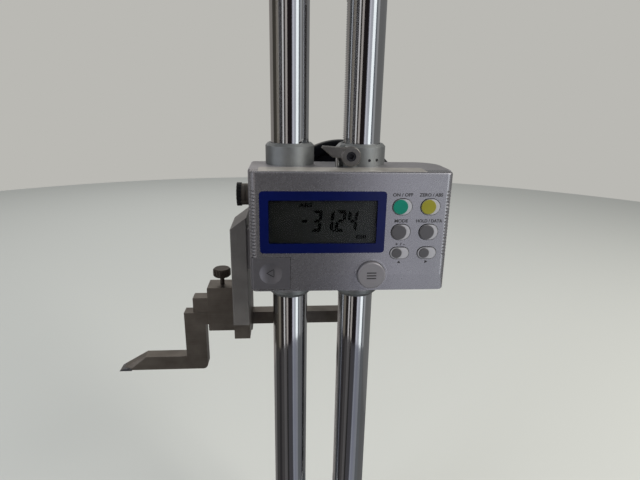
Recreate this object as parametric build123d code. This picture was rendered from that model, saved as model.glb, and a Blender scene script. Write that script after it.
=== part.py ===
"""Twin-column digital height gauge, modelled piece by piece in millimetres.

Frame: the origin is on the ground underside of the base, midway between the two columns.
X runs to the right along the display, Y runs away from the display, Z runs up the columns.
The slider group is modelled at its rest height, with the scriber's edge rest_height above the plate.
"""
from build123d import *
import math
import os

# ---------------------------------------------------------------- fits and small common sizes
fit = 0.05                  # radial clearance of a running or locating fit
side_gap = 0.3              # clearance all round a piece that only stands in its opening
seat_gap = 0.2              # clearance of a sliding flat face
edge_break = 0.5            # small chamfer on machined edges
socket_share = 0.55         # a screw's hexagon socket as a share of its head's radius and height

# ---------------------------------------------------------------- columns and measuring range
measuring_range = 300.0     # travel of the scriber above the plate
rest_height = 190.0         # height of the scriber's edge in the modelled position
column_diameter = 22.0
column_spacing = 42.0
column_end_chamfer = 1.0

# ---------------------------------------------------------------- base
base_left = 50.0            # from the column midpoint to the left side
base_right = 76.0
base_front = 54.0
base_back = 64.0
base_height = 28.0
base_corner = 14.0
base_draft = 3.0            # degrees
base_edge_round = 3.0
pedestal_radius = 18.0
pedestal_height = 20.0      # above the base plate
pedestal_draft = 2.0
base_floor = 11.0           # solid iron under each column
recess_depth = 4.0
recess_rim = 10.0
land_radius = 15.0          # ground land under the two columns
groove_radius = 8.0         # finger grooves in the sides
groove_length = 74.0
groove_depth = 4.0

# ---------------------------------------------------------------- column head and its screws
head_height = 18.0
head_radius = 17.0
head_roof = 7.0             # metal above each column's end
head_edge_round = 2.5
travel_clearance = 13.0     # free column above the collars at full height, for the raised clamp lever
column_bolt_diameter = 8.0
column_bolt_head = 13.0
column_bolt_head_height = 5.0
column_bolt_grip = 12.0     # length in the column

# ---------------------------------------------------------------- slider body
body_height = 68.2
body_left = 44.0            # from the column midpoint
body_right = 68.5
body_front = 24.0
body_back = 8.5
body_rear_corner = 14.0
body_wall = 3.0
body_edge_round = 0.8
guide_radius = 14.2         # guide tubes round the columns
guide_tail = 8.5            # tube length below the body
guide_relief = 0.5          # the tube's bore clears the column between its bushes
bush_length = 13.0
bush_wall = 1.6
works_depth = 9.0           # depth of the electronics space behind the front shell
arm_pad = 3.2               # pad that carries the measuring arm

# ---------------------------------------------------------------- collars, clamp and wipers
collar_height = 12.2
collar_chamfer = 1.5
lug_radius = 5.2            # round lug that carries the clamp screw
lug_foot_width = 7.2
lug_front = 16.0
ear_left = 6.0
ear_front = 10.5
ear_chamfer = 2.0
clamp_screw_x = 12.6
clamp_screw_height = 6.5    # above the deck
hub_radius = 5.5
hub_length = 4.4
hub_gap = 0.2
clamp_head_radius = 2.7
clamp_head_length = 2.6
clamp_thread_radius = 1.9
clamp_reach = 11.6          # Y distance of the screw's end from the column plane
lever_reach = 16.4
lever_rise = 5.6            # top of the lever's tip above the screw axis
lever_shoulder = 4.9        # top of the lever beside the hub
lever_tip_slant = 0.5
lever_tip_fall = 1.1
lever_waist_x = 10.3
lever_waist = -0.6          # underside of the lever, in three steps towards the hub
lever_heel_x = 5.4
lever_heel = -0.9
lever_neck_x = 4.0
lever_neck = -1.7
lever_set_back = 0.6        # the blade lies inside the hub's length
lever_edge = 0.5
clamp_socket = 3.0          # across flats
stop_pin_radius = 1.4
stop_pin_height = 5.0
stop_pin_x = 5.9
stop_pin_y = 12.8
collar_screw_radius = 0.9
collar_screw_height = 3.6
collar_screw_angles = (-78, -58)
collar_screw_sink = 0.6
wiper_rim = 2.0             # cylindrical part of each wiper ring
wiper_cone = 2.7
wiper_gap = 0.3

# ---------------------------------------------------------------- rack, pinion and gears
gear_module = 0.4
pressure_angle = 20.0       # degrees
backlash = 0.06             # taken off each tooth's thickness
rack_land = 0.4             # depth of the rack's flat below the column's surface
pinion_teeth = 30
driven_teeth = 25
driver_teeth = 16
pinion_drop = 31.0          # pinion axis below the deck
pinion_width = 8.0
gear_width = 4.0
gear_gap = 0.8              # between the body's rear boss and the gears
pinion_shaft_radius = 2.5
rack_margin = 8.0           # teeth beyond the pinion at each end of the travel
pinion_pocket = 7.2         # also the bore of the front bush
pinion_end_gap = 1.0
pinion_relief = 3.0         # the front bush stops short of the column
rear_bush_radius = 4.0
boss_radius = 14.0
boss_back = 15.0
cover_flange = 2.5
cover_cup_radius = 8.2
cover_cup_depth = 8.5
cover_wall = 2.2
cover_edge = 1.5
cover_screw_radius = 1.25
cover_screw_head = 2.2
cover_screw_head_height = 2.0
cover_screw_grip = 3.2
cover_screw_angle = 65.0    # degrees from the line of the two gear axes
encoder_radius = 12.0
encoder_thickness = 1.0
encoder_gap = 1.0

# ---------------------------------------------------------------- hand wheel
wheel_radius = 42.0
wheel_rim_depth = 11.0
wheel_rim_width = 8.0
wheel_rim_round = 3.0
wheel_web = 4.0
wheel_dish = 1.5            # the web leans forward by this much towards the hub
wheel_hub_radius = 9.0
wheel_hub_length = 13.0
wheel_gap = 0.7
wheel_front = 28.0          # Y of the rim's front face
wheel_shaft_radius = 4.0
wheel_journal_radius = 2.0
wheel_bush_wall = 1.4
wheel_holes = 5
wheel_hole_radius = 7.5
wheel_hole_circle = 22.0
grip_circle = 27.5
grip_radius = 7.0
grip_length = 20.0
grip_pin_radius = 2.0
grip_pin_foot = 3.5
grip_foot_gap = 0.4
grip_foot_end = 1.4
grip_head_thickness = 1.2
grip_taper = 9.0
grip_neck_share = 0.75
cap_height = 2.5

# ---------------------------------------------------------------- display shell
shell_left = 43.2
shell_right = 67.4
shell_front = 32.8
shell_wall = 2.2
shell_corner = 3.5
shell_edge = 1.2
rib_count = 20
rib_top = 10.0              # first groove below the deck
rib_pitch = 1.88
rib_cut = 1.0
rib_reach = 3.2              # of a groove along each face, from the shell's corner
skirt_top = 58.4            # sloped lower band of the front face
skirt_set_back = 0.9
skirt_left_top = -2.9
skirt_left_bottom = -18.2

# ---------------------------------------------------------------- display window
bezel_left = 37.8
bezel_right = 31.1
bezel_top = 10.4
bezel_height = 34.8
bezel_corner = 2.0
bezel_thickness = 1.0
bezel_proud = 0.2
window_left = 33.0
window_right = 26.4
window_top = 15.4
window_height = 24.4
window_corner = 0.8
glass_lap = 1.2
glass_thickness = 0.9
lcd_gap = 0.1

# ---------------------------------------------------------------- keys
key_left_x = 39.9
key_right_x = 55.5
key_rows = (18.9, 33.2, 45.4)
key_length = 10.8
key_height = 9.0
small_key_height = 6.9
key_proud = 0.5
key_body = 4.2
key_flange = 0.8
key_flange_gap = 0.2
key_cap_radius = 4.1
small_cap_radius = 2.9
key_cap_offset = 1.0
small_cap_offset = 1.6
key_cap_height = 0.4
key_cap_round = 0.3
mat_thickness = 1.4
board_thickness = 1.6
post_radius = 2.5

# ---------------------------------------------------------------- battery cover and socket cap
cover_right = -21.2
cover_top = 47.9
cover_lip = 1.3
cover_thickness = 2.0
dish_x = -32.1
dish_rise = 11.0            # centre of the thumb dish above the bottom edge
dish_radius = 6.3
dish_depth = 0.9
cell_radius = 5.8
cell_height = 5.4
holder_wall = 1.4
cap_x = 24.4
cap_rise = 10.1             # centre of the socket cap above the bottom edge
cap_radius = 7.9
cap_ring_wall = 1.0
cap_ring_proud = 0.35
cap_proud = 2.5
cap_edge = 0.8
socket_radius = 6.0

# ---------------------------------------------------------------- side clamp knob
side_knob_radius = 7.0
side_knob_width = 2.7
side_stem_radius = 6.4
side_stem_length = 5.7
side_thread_radius = 3.0
side_knob_drop = 18.6
side_shoe_length = 0.9
side_knob_notches = 18

# ---------------------------------------------------------------- measuring arm and jaw
arm_left = 57.3
arm_right = 47.2
arm_front = 5.0
arm_back = 26.0
arm_foot_back = 36.0
arm_top = 32.0              # below the deck
arm_shoulder = 39.6         # lower end of the sloped top
arm_heel = 82.0
arm_nose = 103.0            # lower end of the arm's front part
arm_edge = 0.8
arm_screw_radius = 2.0
arm_screw_head = 3.6
jaw_front = 10.0            # where the jaw stands against the back of the arm's nose
jaw_top = 94.0
jaw_bottom = 119.8
jaw_step = 20.5             # the jaw is shallower in front of this Y
jaw_nose_front = 1.0
jaw_nose_bottom = 114.8
jaw_end = 88.0
jaw_bar_height = 11.0
shank = 9.0                 # side of the square scriber shank
shank_front = 23.0
shank_top = 107.4           # below the deck

# ---------------------------------------------------------------- scriber and its clamp box
scriber_left = 94.5
scriber_tail = 15.0         # the shank's right end, from the column midpoint
leg_width = 14.5
scriber_drop = 152.2        # carbide edge below the deck
carbide_proud = 0.7
foot_top = 141.2            # below the deck
foot_bevel_start = 124.0    # the bevel runs from here down to the cutting edge
nose_end = 142.5
nose_edge = 0.1             # the cutting edge's height above the carbide's underside
facet_drop = 0.8            # small facet beside the bevel, on the side towards the display
facet_reach = 3.0
carbide_start = 134.0
carbide_height = 1.9
leg_corner = 3.5
box_left = 77.3
box_right = 58.6
box_wall = 3.0
box_roof = 7.0
pad_height = 1.5
thumb_x = 67.6
thumb_radius = 6.0
thumb_height = 5.7
thumb_edge = 0.9
thumb_neck = 6.0
thumb_stem_radius = 1.45
thumb_notches = 20

# ---------------------------------------------------------------- heights and places worked out
column_radius = column_diameter / 2
left_x = -column_spacing / 2
right_x = column_spacing / 2
deck = rest_height + scriber_drop
body_bottom = deck - body_height
dish_z = body_bottom + dish_rise
cap_z = body_bottom + cap_rise
clamp_z = deck + clamp_screw_height
highest_deck = deck - rest_height + measuring_range
head_bottom = highest_deck + collar_height + travel_clearance
column_bottom = base_floor
column_top = head_bottom + head_height - head_roof
shank_back = shank_front + shank
pitch = math.pi * gear_module
rack_line_x = right_x - (column_radius - rack_land - gear_module)
pinion_radius = gear_module * pinion_teeth / 2
pinion_x = rack_line_x - pinion_radius
pinion_z = deck - pinion_drop
wheel_x = pinion_x + gear_module * (driven_teeth + driver_teeth) / 2
works_back = -body_front + works_depth
shell_inside = -shell_front + shell_wall
glass_front = -shell_front - bezel_proud + bezel_thickness
lcd_front = glass_front + glass_thickness + lcd_gap
mat_back = shell_inside + key_flange_gap + 2 * key_flange + mat_thickness
board_front = mat_back


# ---------------------------------------------------------------- shape helpers
def block(x_low, x_high, y_low, y_high, z_low, z_high):
    """Box between two corners."""
    size = (x_high - x_low, y_high - y_low, z_high - z_low)
    middle = ((x_low + x_high) / 2, (y_low + y_high) / 2, (z_low + z_high) / 2)
    return Pos(*middle) * Box(*size)


def rod_x(radius, x_low, x_high, y, z):
    """Cylinder along X."""
    return Pos((x_low + x_high) / 2, y, z) * Rot(0, 90, 0) * Cylinder(radius, x_high - x_low)


def rod_y(radius, y_low, y_high, x, z):
    """Cylinder along Y."""
    return Pos(x, (y_low + y_high) / 2, z) * Rot(90, 0, 0) * Cylinder(radius, y_high - y_low)


def rod_z(radius, z_low, z_high, x, y):
    """Cylinder along Z."""
    return Pos(x, y, (z_low + z_high) / 2) * Cylinder(radius, z_high - z_low)


def facing(y, x=0.0, z=0.0):
    """Plane parallel to the display, seen from behind it, whose sketch X and Y are +X and -Z."""
    return Plane(origin=(x, y, z), x_dir=(1, 0, 0), z_dir=(0, 1, 0))


def slab(sketch, y_low, y_high, x=0.0, z=0.0):
    """A sketch drawn parallel to the display, extruded from y_low to y_high."""
    return extrude(facing(y_low, x, z) * sketch, amount=y_high - y_low)


def panel(x_low, x_high, z_low, z_high, corner, y_low, y_high):
    """Rounded rectangular plate parallel to the display."""
    outline = RectangleRounded(x_high - x_low, z_high - z_low, corner)
    return slab(outline, y_low, y_high, (x_low + x_high) / 2, (z_low + z_high) / 2)


def spun(points, centre, plane_dir="Z"):
    """Revolve (radius, height) points about an axis through centre: Z upwards, or Y to the rear."""
    outline = make_face(Polyline(*points, close=True))
    ring = revolve(Plane.XZ * outline, Axis.Z, 360)
    turn = Rot(-90, 0, 0) if plane_dir == "Y" else Rot(0, 0, 0)
    return Pos(*centre) * turn * ring


def hexagon_socket(across_flats, depth, y_front, x, z):
    """Hexagonal recess that opens towards -Y."""
    return slab(RegularPolygon(across_flats / 2, 6, major_radius=False), y_front, y_front + depth, x, z)


def cap_screw(head_radius, head_height, thread_radius, length):
    """Socket cap screw standing on Z=0 with its head above and its thread below."""
    screw = rod_z(head_radius, 0, head_height, 0, 0) + rod_z(thread_radius, -length, 0, 0, 0)
    rim = screw.edges().filter_by(GeomType.CIRCLE).group_by(Axis.Z)[-1]
    screw = chamfer(rim, head_radius / 10)
    hexagon = Pos(0, 0, head_height) * RegularPolygon(head_radius * socket_share, 6)
    return screw - extrude(hexagon, amount=-head_height * socket_share)


def involute(angle):
    """Involute function of an angle in radians."""
    return math.tan(angle) - angle


def gear_outline(teeth, turned):
    """Closed spur-gear outline with a tooth centred on +X, then turned by the given degrees."""
    pitch_radius = gear_module * teeth / 2
    base_radius = pitch_radius * math.cos(math.radians(pressure_angle))
    radii = (pitch_radius - 1.25 * gear_module, pitch_radius, pitch_radius + gear_module)
    half_pitch_angle = (pitch / 2 - backlash) / 2 / pitch_radius
    half_angles = []
    for radius in radii:
        contact = math.acos(min(1.0, base_radius / radius))
        half_angles.append(half_pitch_angle + involute(math.radians(pressure_angle)) - involute(contact))
    points = []
    for tooth in range(teeth):
        middle = math.radians(turned) + 2 * math.pi * tooth / teeth
        rising = [(radius, middle - half) for radius, half in zip(radii, half_angles)]
        falling = [(radius, middle + half) for radius, half in reversed(list(zip(radii, half_angles)))]
        points += [(r * math.cos(a), r * math.sin(a)) for r, a in rising + falling]
    return make_face(Polyline(*points, close=True))


def gear(teeth, y_low, y_high, x, z, bore, turned=0.0):
    """Spur gear on an axis parallel to Y."""
    blank = slab(gear_outline(teeth, turned), y_low, y_high, x, z)
    return blank - rod_y(bore, y_low, y_high, x, z)


def notched_disc(radius, notches, notch_radius):
    """Round disc outline with evenly spaced grip notches."""
    outline = Circle(radius)
    for index in range(notches):
        angle = 2 * math.pi * index / notches
        outline -= Pos(radius * math.cos(angle), radius * math.sin(angle)) * Circle(notch_radius)
    return outline


# ---------------------------------------------------------------- base, columns and head
def base_outline(inset):
    """Plan outline of the base, drawn in by inset."""
    width = base_left + base_right - 2 * inset
    depth = base_front + base_back - 2 * inset
    outline = RectangleRounded(width, depth, max(base_corner - inset, edge_break))
    return Pos((base_right - base_left) / 2, (base_back - base_front) / 2) * outline


def make_base():
    """Cast base with a ground rim, a raised column pedestal and finger grooves."""
    plate = extrude(base_outline(0), amount=base_height, taper=base_draft)
    plate = fillet(plate.faces().sort_by(Axis.Z)[-1].edges(), base_edge_round)
    foot = Pos(0, 0, base_height - edge_break) * SlotCenterToCenter(column_spacing, 2 * pedestal_radius)
    pedestal = extrude(foot, amount=pedestal_height + edge_break, taper=pedestal_draft)
    pedestal = fillet(pedestal.faces().sort_by(Axis.Z)[-1].edges(), base_edge_round / 2)
    base = plate + pedestal
    recess = extrude(base_outline(recess_rim), amount=recess_depth)
    land = extrude(SlotCenterToCenter(column_spacing, 2 * land_radius), amount=recess_depth)
    base -= recess - land
    top = base_height + pedestal_height
    for x in (left_x, right_x):
        base -= rod_z(column_radius + fit, base_floor, top, x, 0)
        base -= rod_z(column_bolt_diameter / 2 + fit, 0, base_floor, x, 0)
        base -= rod_z(column_bolt_head / 2 + fit, 0, column_bolt_head_height + edge_break, x, 0)
    middle_y = (base_back - base_front) / 2
    for side, edge in ((-1, base_left), (1, base_right)):
        x = side * (edge + groove_radius - groove_depth)
        half = groove_length / 2 - groove_radius
        groove = rod_y(groove_radius, middle_y - half, middle_y + half, x, base_height / 2)
        groove += Pos(x, middle_y - half, base_height / 2) * Sphere(groove_radius)
        groove += Pos(x, middle_y + half, base_height / 2) * Sphere(groove_radius)
        base -= groove
    return base


def make_column(x):
    """Round column with a tapped hole in each end."""
    column = rod_z(column_radius, column_bottom, column_top, x, 0)
    column = chamfer(column.edges().filter_by(GeomType.CIRCLE), column_end_chamfer)
    thread = column_bolt_diameter / 2 + fit
    column -= rod_z(thread, column_bottom, column_bottom + column_bolt_grip, x, 0)
    column -= rod_z(thread, column_top - column_bolt_grip, column_top, x, 0)
    return column


def make_rack_column():
    """Right column with the rack cut into its left flank.

    A tooth gap lies level with the pinion's axis in the modelled position.
    """
    lowest = pinion_z - rest_height - rack_margin
    highest = pinion_z - rest_height + measuring_range + rack_margin
    first = math.floor((lowest - pinion_z) / pitch)
    last = math.ceil((highest - pinion_z) / pitch)
    tip_x = rack_line_x - gear_module
    root_x = rack_line_x + 1.25 * gear_module
    slope = math.tan(math.radians(pressure_angle))
    half_gap = (pitch / 2 + backlash) / 2
    half_mouth = half_gap + gear_module * slope
    half_floor = half_gap - 1.25 * gear_module * slope
    outside_x = right_x - column_diameter
    outline = [(outside_x, pinion_z + first * pitch - pitch / 2)]
    outline.append((tip_x, pinion_z + first * pitch - pitch / 2))
    for tooth in range(first, last + 1):
        z = pinion_z + tooth * pitch
        outline += [(tip_x, z - half_mouth), (root_x, z - half_floor)]
        outline += [(root_x, z + half_floor), (tip_x, z + half_mouth)]
    outline.append((tip_x, pinion_z + last * pitch + pitch / 2))
    outline.append((outside_x, pinion_z + last * pitch + pitch / 2))
    cutter = make_face(Plane.XZ * Polyline(*outline, close=True))
    return make_column(right_x) - extrude(cutter, amount=column_radius, both=True)


def make_head():
    """Bridge that ties the two column tops together."""
    outline = Pos(0, 0, head_bottom) * SlotCenterToCenter(column_spacing, 2 * head_radius)
    head = extrude(outline, amount=head_height)
    head = fillet(head.faces().sort_by(Axis.Z)[-1].edges(), head_edge_round)
    head_top = head_bottom + head_height
    for x in (left_x, right_x):
        head -= rod_z(column_radius + fit, head_bottom, column_top, x, 0)
        head -= rod_z(column_bolt_diameter / 2 + fit, column_top, head_top, x, 0)
        head -= rod_z(column_bolt_head / 2 + fit, head_top - column_bolt_head_height, head_top, x, 0)
    return head


def make_column_bolts(seat_z, upwards):
    """Two socket screws that hold the columns at one end."""
    reach = column_bolt_grip - edge_break + abs(seat_z - (column_bottom if upwards else column_top))
    screw = cap_screw(column_bolt_head / 2, column_bolt_head_height, column_bolt_diameter / 2, reach)
    turn = Rot(180, 0, 0) if upwards else Rot(0, 0, 0)
    return [Pos(x, 0, seat_z) * turn * screw for x in (left_x, right_x)]


# ---------------------------------------------------------------- slider body and guides
def body_outline():
    """Plan outline of the slider body: square in front, rounded at the rear."""
    width = body_left + body_right
    depth = body_front + body_back
    outline = Pos((body_right - body_left) / 2, (body_back - body_front) / 2) * Rectangle(width, depth)
    corners = outline.vertices().group_by(Axis.Y)[-1].sort_by(Axis.X)
    outline = fillet(corners[-1], body_rear_corner)
    left_corner = outline.vertices().group_by(Axis.Y)[-1].sort_by(Axis.X)[0]
    return fillet(left_corner, body_rear_corner / 5)


def gear_boss_outline(radius):
    """Oblong round the two gear axes."""
    return Pos((wheel_x - pinion_x) / 2, 0) * SlotCenterToCenter(wheel_x - pinion_x, 2 * radius)


def make_slider_body():
    """Die-cast slider: guide tubes, electronics space, pinion pocket and rear gear boss."""
    body = extrude(Pos(0, 0, body_bottom) * body_outline(), amount=body_height)
    rims = body.faces().sort_by(Axis.Z)
    rear_edges = [e for f in (rims[0], rims[-1]) for e in f.edges() if e.center().Y > -body_front + 1]
    body = fillet(rear_edges, body_edge_round)
    for x in (left_x, right_x):
        body += rod_z(guide_radius, body_bottom - guide_tail, deck - body_edge_round, x, 0)
    body += slab(gear_boss_outline(boss_radius), 0, boss_back, pinion_x, pinion_z)
    body += block(-body_left - arm_pad, -body_left, -arm_pad, body_back - 1, body_bottom + body_wall,
                  deck - arm_shoulder)
    body -= block(-body_left + body_wall, body_right - body_wall, -body_front, works_back,
                  body_bottom + body_wall, deck - body_wall)
    body -= block(right_x + guide_radius + body_wall, body_right - body_wall, works_back,
                  body_back - body_wall, body_bottom + body_wall, deck - body_wall)
    for x in (left_x, right_x):
        top, bottom = deck, body_bottom - guide_tail
        body -= rod_z(column_radius + guide_relief, bottom, top, x, 0)
        body -= rod_z(column_radius + bush_wall + fit, top - bush_length, top, x, 0)
        body -= rod_z(column_radius + bush_wall + fit, bottom, bottom + bush_length, x, 0)
    body -= rod_y(pinion_pocket, works_back, pinion_back(), pinion_x, pinion_z)
    body -= rod_y(rear_bush_radius + fit, pinion_back(), boss_back, pinion_x, pinion_z)
    journal = wheel_journal_radius + wheel_bush_wall + fit
    body -= rod_y(journal, journal_start(), boss_back, wheel_x, pinion_z)
    for x, z in cover_screw_places():
        body -= rod_y(cover_screw_radius + fit, boss_back - cover_screw_grip - edge_break, boss_back, x, z)
    body -= rod_x(side_thread_radius + fit, -body_left, left_x - column_radius, 0, deck - side_knob_drop)
    for y, z in arm_screw_places():
        body -= rod_x(arm_screw_radius + fit, -body_left - arm_pad, -body_left + 8, y, z)
    for x, z in board_post_places():
        body += rod_y(post_radius, works_back - 4, works_back + edge_break, x, z)
    return body


def board_post_places():
    """X and Z of the four posts that carry the sensor board."""
    half_width, half_height = 26.0, 22.0
    return [(cap_x / 2 + sx * half_width, pinion_z + sz * half_height) for sx in (-1, 1) for sz in (-1, 1)]


def cover_screw_places():
    """X and Z of the four gear-cover screws."""
    reach = (boss_radius + cover_cup_radius) / 2
    aside = reach * math.cos(math.radians(cover_screw_angle))
    spread = reach * math.sin(math.radians(cover_screw_angle))
    return [(x, pinion_z + sz * spread) for x in (pinion_x - aside, wheel_x + aside) for sz in (-1, 1)]


def arm_screw_places():
    """Y and Z of the two screws that hold the measuring arm."""
    return [(2.5, body_bottom + 10), (2.5, deck - arm_shoulder - 6)]


def make_bushes():
    """Four plain guide bushes, two on each column."""
    bushes = []
    for x in (left_x, right_x):
        for low in (deck - bush_length, body_bottom - guide_tail):
            ring = rod_z(column_radius + bush_wall, low, low + bush_length, x, 0)
            bushes.append(ring - rod_z(column_radius + fit, low, low + bush_length, x, 0))
    return bushes


def make_wipers():
    """Conical wiper rings under the guide tubes."""
    inner = column_radius + wiper_gap
    top = 0.0
    points = [(inner, top), (guide_radius, top), (guide_radius, -wiper_rim),
              (guide_radius - wiper_cone, -wiper_rim - wiper_cone), (inner, -wiper_rim - wiper_cone)]
    return [spun(points, (x, 0, body_bottom - guide_tail)) for x in (left_x, right_x)]


def make_collar(x):
    """Round collar on the deck, chamfered at its upper rim."""
    inner = column_radius + wiper_gap
    points = [(inner, 0), (guide_radius, 0), (guide_radius, collar_height - collar_chamfer),
              (guide_radius - collar_chamfer, collar_height), (inner, collar_height)]
    return spun(points, (x, 0, deck))


def collar_screw_holes(reach_out):
    """Radial cylinders for the two set screws of the right collar."""
    holes = []
    for angle in collar_screw_angles:
        screw = rod_x(collar_screw_radius, column_radius + wiper_gap, reach_out, 0, 0)
        holes.append(Pos(right_x, 0, deck + collar_screw_height) * Rot(0, 0, angle) * screw)
    return holes


def make_clamp_collar():
    """Right collar with the round lug that takes the clamp screw, and an ear behind it."""
    lug = rod_y(lug_radius, -lug_front, 0, clamp_screw_x, clamp_z)
    half_foot = lug_foot_width / 2
    lug += block(clamp_screw_x - half_foot, clamp_screw_x + half_foot, -lug_front, 0, deck, clamp_z)
    ear = block(ear_left, right_x - column_radius, -ear_front, 0, deck, deck + collar_height)
    ear = chamfer(ear.edges().filter_by(Axis.Y).group_by(Axis.Z)[-1].sort_by(Axis.X)[0], ear_chamfer)
    collar = make_collar(right_x) + lug + ear
    collar -= rod_z(column_radius + wiper_gap, deck, deck + collar_height, right_x, 0)
    collar -= rod_y(clamp_thread_radius + fit, -lug_front, -column_radius / 2, clamp_screw_x, clamp_z)
    for hole in collar_screw_holes(guide_radius + collar_screw_sink):
        collar -= hole
    return collar


def make_collar_screws():
    """Two set screws, sunk a little below the collar's face."""
    return collar_screw_holes(guide_radius - collar_screw_sink)


def make_clamp_lever():
    """Wing lever whose hub carries the clamp screw."""
    back = -lug_front - hub_gap
    front = back - hub_length
    hub = rod_y(hub_radius, front, back, clamp_screw_x, clamp_z)
    wing = [(-lever_reach, lever_rise - lever_tip_fall), (-lever_reach + lever_tip_slant, lever_rise),
            (-lever_neck_x, lever_shoulder), (0, hub_radius - lever_edge), (0, lever_edge - hub_radius),
            (-lever_neck_x, lever_neck), (-lever_heel_x, lever_heel), (-lever_waist_x, lever_waist)]
    face = make_face(Polyline(*[(x, -rise) for x, rise in wing], close=True))
    blade = slab(face, front + lever_set_back, back - hub_gap, clamp_screw_x, clamp_z)
    blade = fillet(blade.faces().sort_by(Axis.Y)[0].edges(), lever_edge)
    lever = hub + blade
    lever = chamfer(lever.edges().filter_by(GeomType.CIRCLE).group_by(Axis.Y)[0], edge_break)
    lever -= rod_y(clamp_head_radius + fit, front, front + clamp_head_length, clamp_screw_x, clamp_z)
    return lever - rod_y(clamp_thread_radius + fit, front, back, clamp_screw_x, clamp_z)


def make_clamp_screw():
    """Socket screw through the lever's hub."""
    front = -lug_front - hub_gap - hub_length
    head = rod_y(clamp_head_radius, front + edge_break, front + clamp_head_length, clamp_screw_x, clamp_z)
    thread = rod_y(clamp_thread_radius, front + clamp_head_length, -clamp_reach, clamp_screw_x, clamp_z)
    depth = clamp_head_length * 2 / 3
    return head + thread - hexagon_socket(clamp_socket, depth, front + edge_break, clamp_screw_x, clamp_z)


def make_clamp_shoe():
    """Brass plug between the clamp screw and the column."""
    nearest = clamp_screw_x + clamp_thread_radius - right_x
    column_y = math.sqrt(column_radius**2 - nearest**2)
    return rod_y(clamp_thread_radius, -clamp_reach + fit, -column_y - side_gap, clamp_screw_x, clamp_z)


# ---------------------------------------------------------------- pinion, gears and hand wheel
def pinion_back():
    """Y of the rear end of the pinion's pocket."""
    return pinion_width / 2 + pinion_end_gap


def make_pinion_bushes():
    """Front and rear bushes of the pinion shaft."""
    front = rod_y(pinion_pocket - fit, works_back, -pinion_back() - pinion_relief, pinion_x, pinion_z)
    rear = rod_y(rear_bush_radius, pinion_back(), boss_back, pinion_x, pinion_z)
    shaft = rod_y(pinion_shaft_radius + fit, works_back, boss_back, pinion_x, pinion_z)
    return [front - shaft, rear - shaft]


def make_pinion_shaft():
    """Shaft that carries the rack pinion, the driven gear and the encoder disc."""
    front = works_back - encoder_gap - encoder_thickness - edge_break
    back = boss_back + gear_gap + gear_width + edge_break
    shaft = rod_y(pinion_shaft_radius, front, back, pinion_x, pinion_z)
    return chamfer(shaft.edges().filter_by(GeomType.CIRCLE), edge_break / 2)


def make_wheel_shaft():
    """Stepped shaft from the front journal to the hand wheel's hub."""
    shoulder = boss_back + gear_gap + gear_width
    end = wheel_hub_front() + wheel_hub_length
    start = journal_start() + seat_gap
    points = [(0, start), (wheel_journal_radius, start), (wheel_journal_radius, shoulder),
              (wheel_shaft_radius, shoulder), (wheel_shaft_radius, end), (0, end)]
    return spun(points, (wheel_x, 0, pinion_z), "Y")


def journal_start():
    """Y of the closed end of the hand wheel's front bearing."""
    return body_back + wheel_journal_radius


def wheel_hub_front():
    """Y of the hub's front face."""
    return boss_back + cover_cup_depth + wheel_gap


def make_wheel_bushes():
    """Bushes of the hand-wheel shaft, in the body and in the gear cover."""
    start = journal_start()
    front = rod_y(wheel_journal_radius + wheel_bush_wall, start, boss_back, wheel_x, pinion_z)
    front -= rod_y(wheel_journal_radius + fit, start, boss_back, wheel_x, pinion_z)
    high = boss_back + cover_cup_depth
    rear = rod_y(wheel_shaft_radius + wheel_bush_wall, high - cover_wall, high, wheel_x, pinion_z)
    rear -= rod_y(wheel_shaft_radius + fit, high - cover_wall, high, wheel_x, pinion_z)
    return [front, rear]


def make_gear_cover():
    """Cup-shaped cover over the gears, with a screwed flange."""
    high = boss_back + cover_cup_depth
    flange = slab(gear_boss_outline(boss_radius), boss_back, boss_back + cover_flange, pinion_x, pinion_z)
    cup = slab(gear_boss_outline(cover_cup_radius), boss_back, high, pinion_x, pinion_z)
    cup = fillet(cup.faces().sort_by(Axis.Y)[-1].edges(), cover_edge)
    cover = flange + cup
    inside = gear_boss_outline(cover_cup_radius - cover_wall)
    cover -= slab(inside, boss_back, high - cover_wall, pinion_x, pinion_z)
    cover -= rod_y(wheel_shaft_radius + wheel_bush_wall + fit, boss_back, high, wheel_x, pinion_z)
    for x, z in cover_screw_places():
        cover -= rod_y(cover_screw_radius + fit, boss_back, boss_back + cover_flange, x, z)
    return cover


def make_cover_screws():
    """Four socket screws in the gear cover's flange."""
    length = cover_flange + cover_screw_grip
    screw = Rot(-90, 0, 0) * cap_screw(cover_screw_head, cover_screw_head_height, cover_screw_radius, length)
    return [Pos(x, boss_back + cover_flange, z) * screw for x, z in cover_screw_places()]


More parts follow.
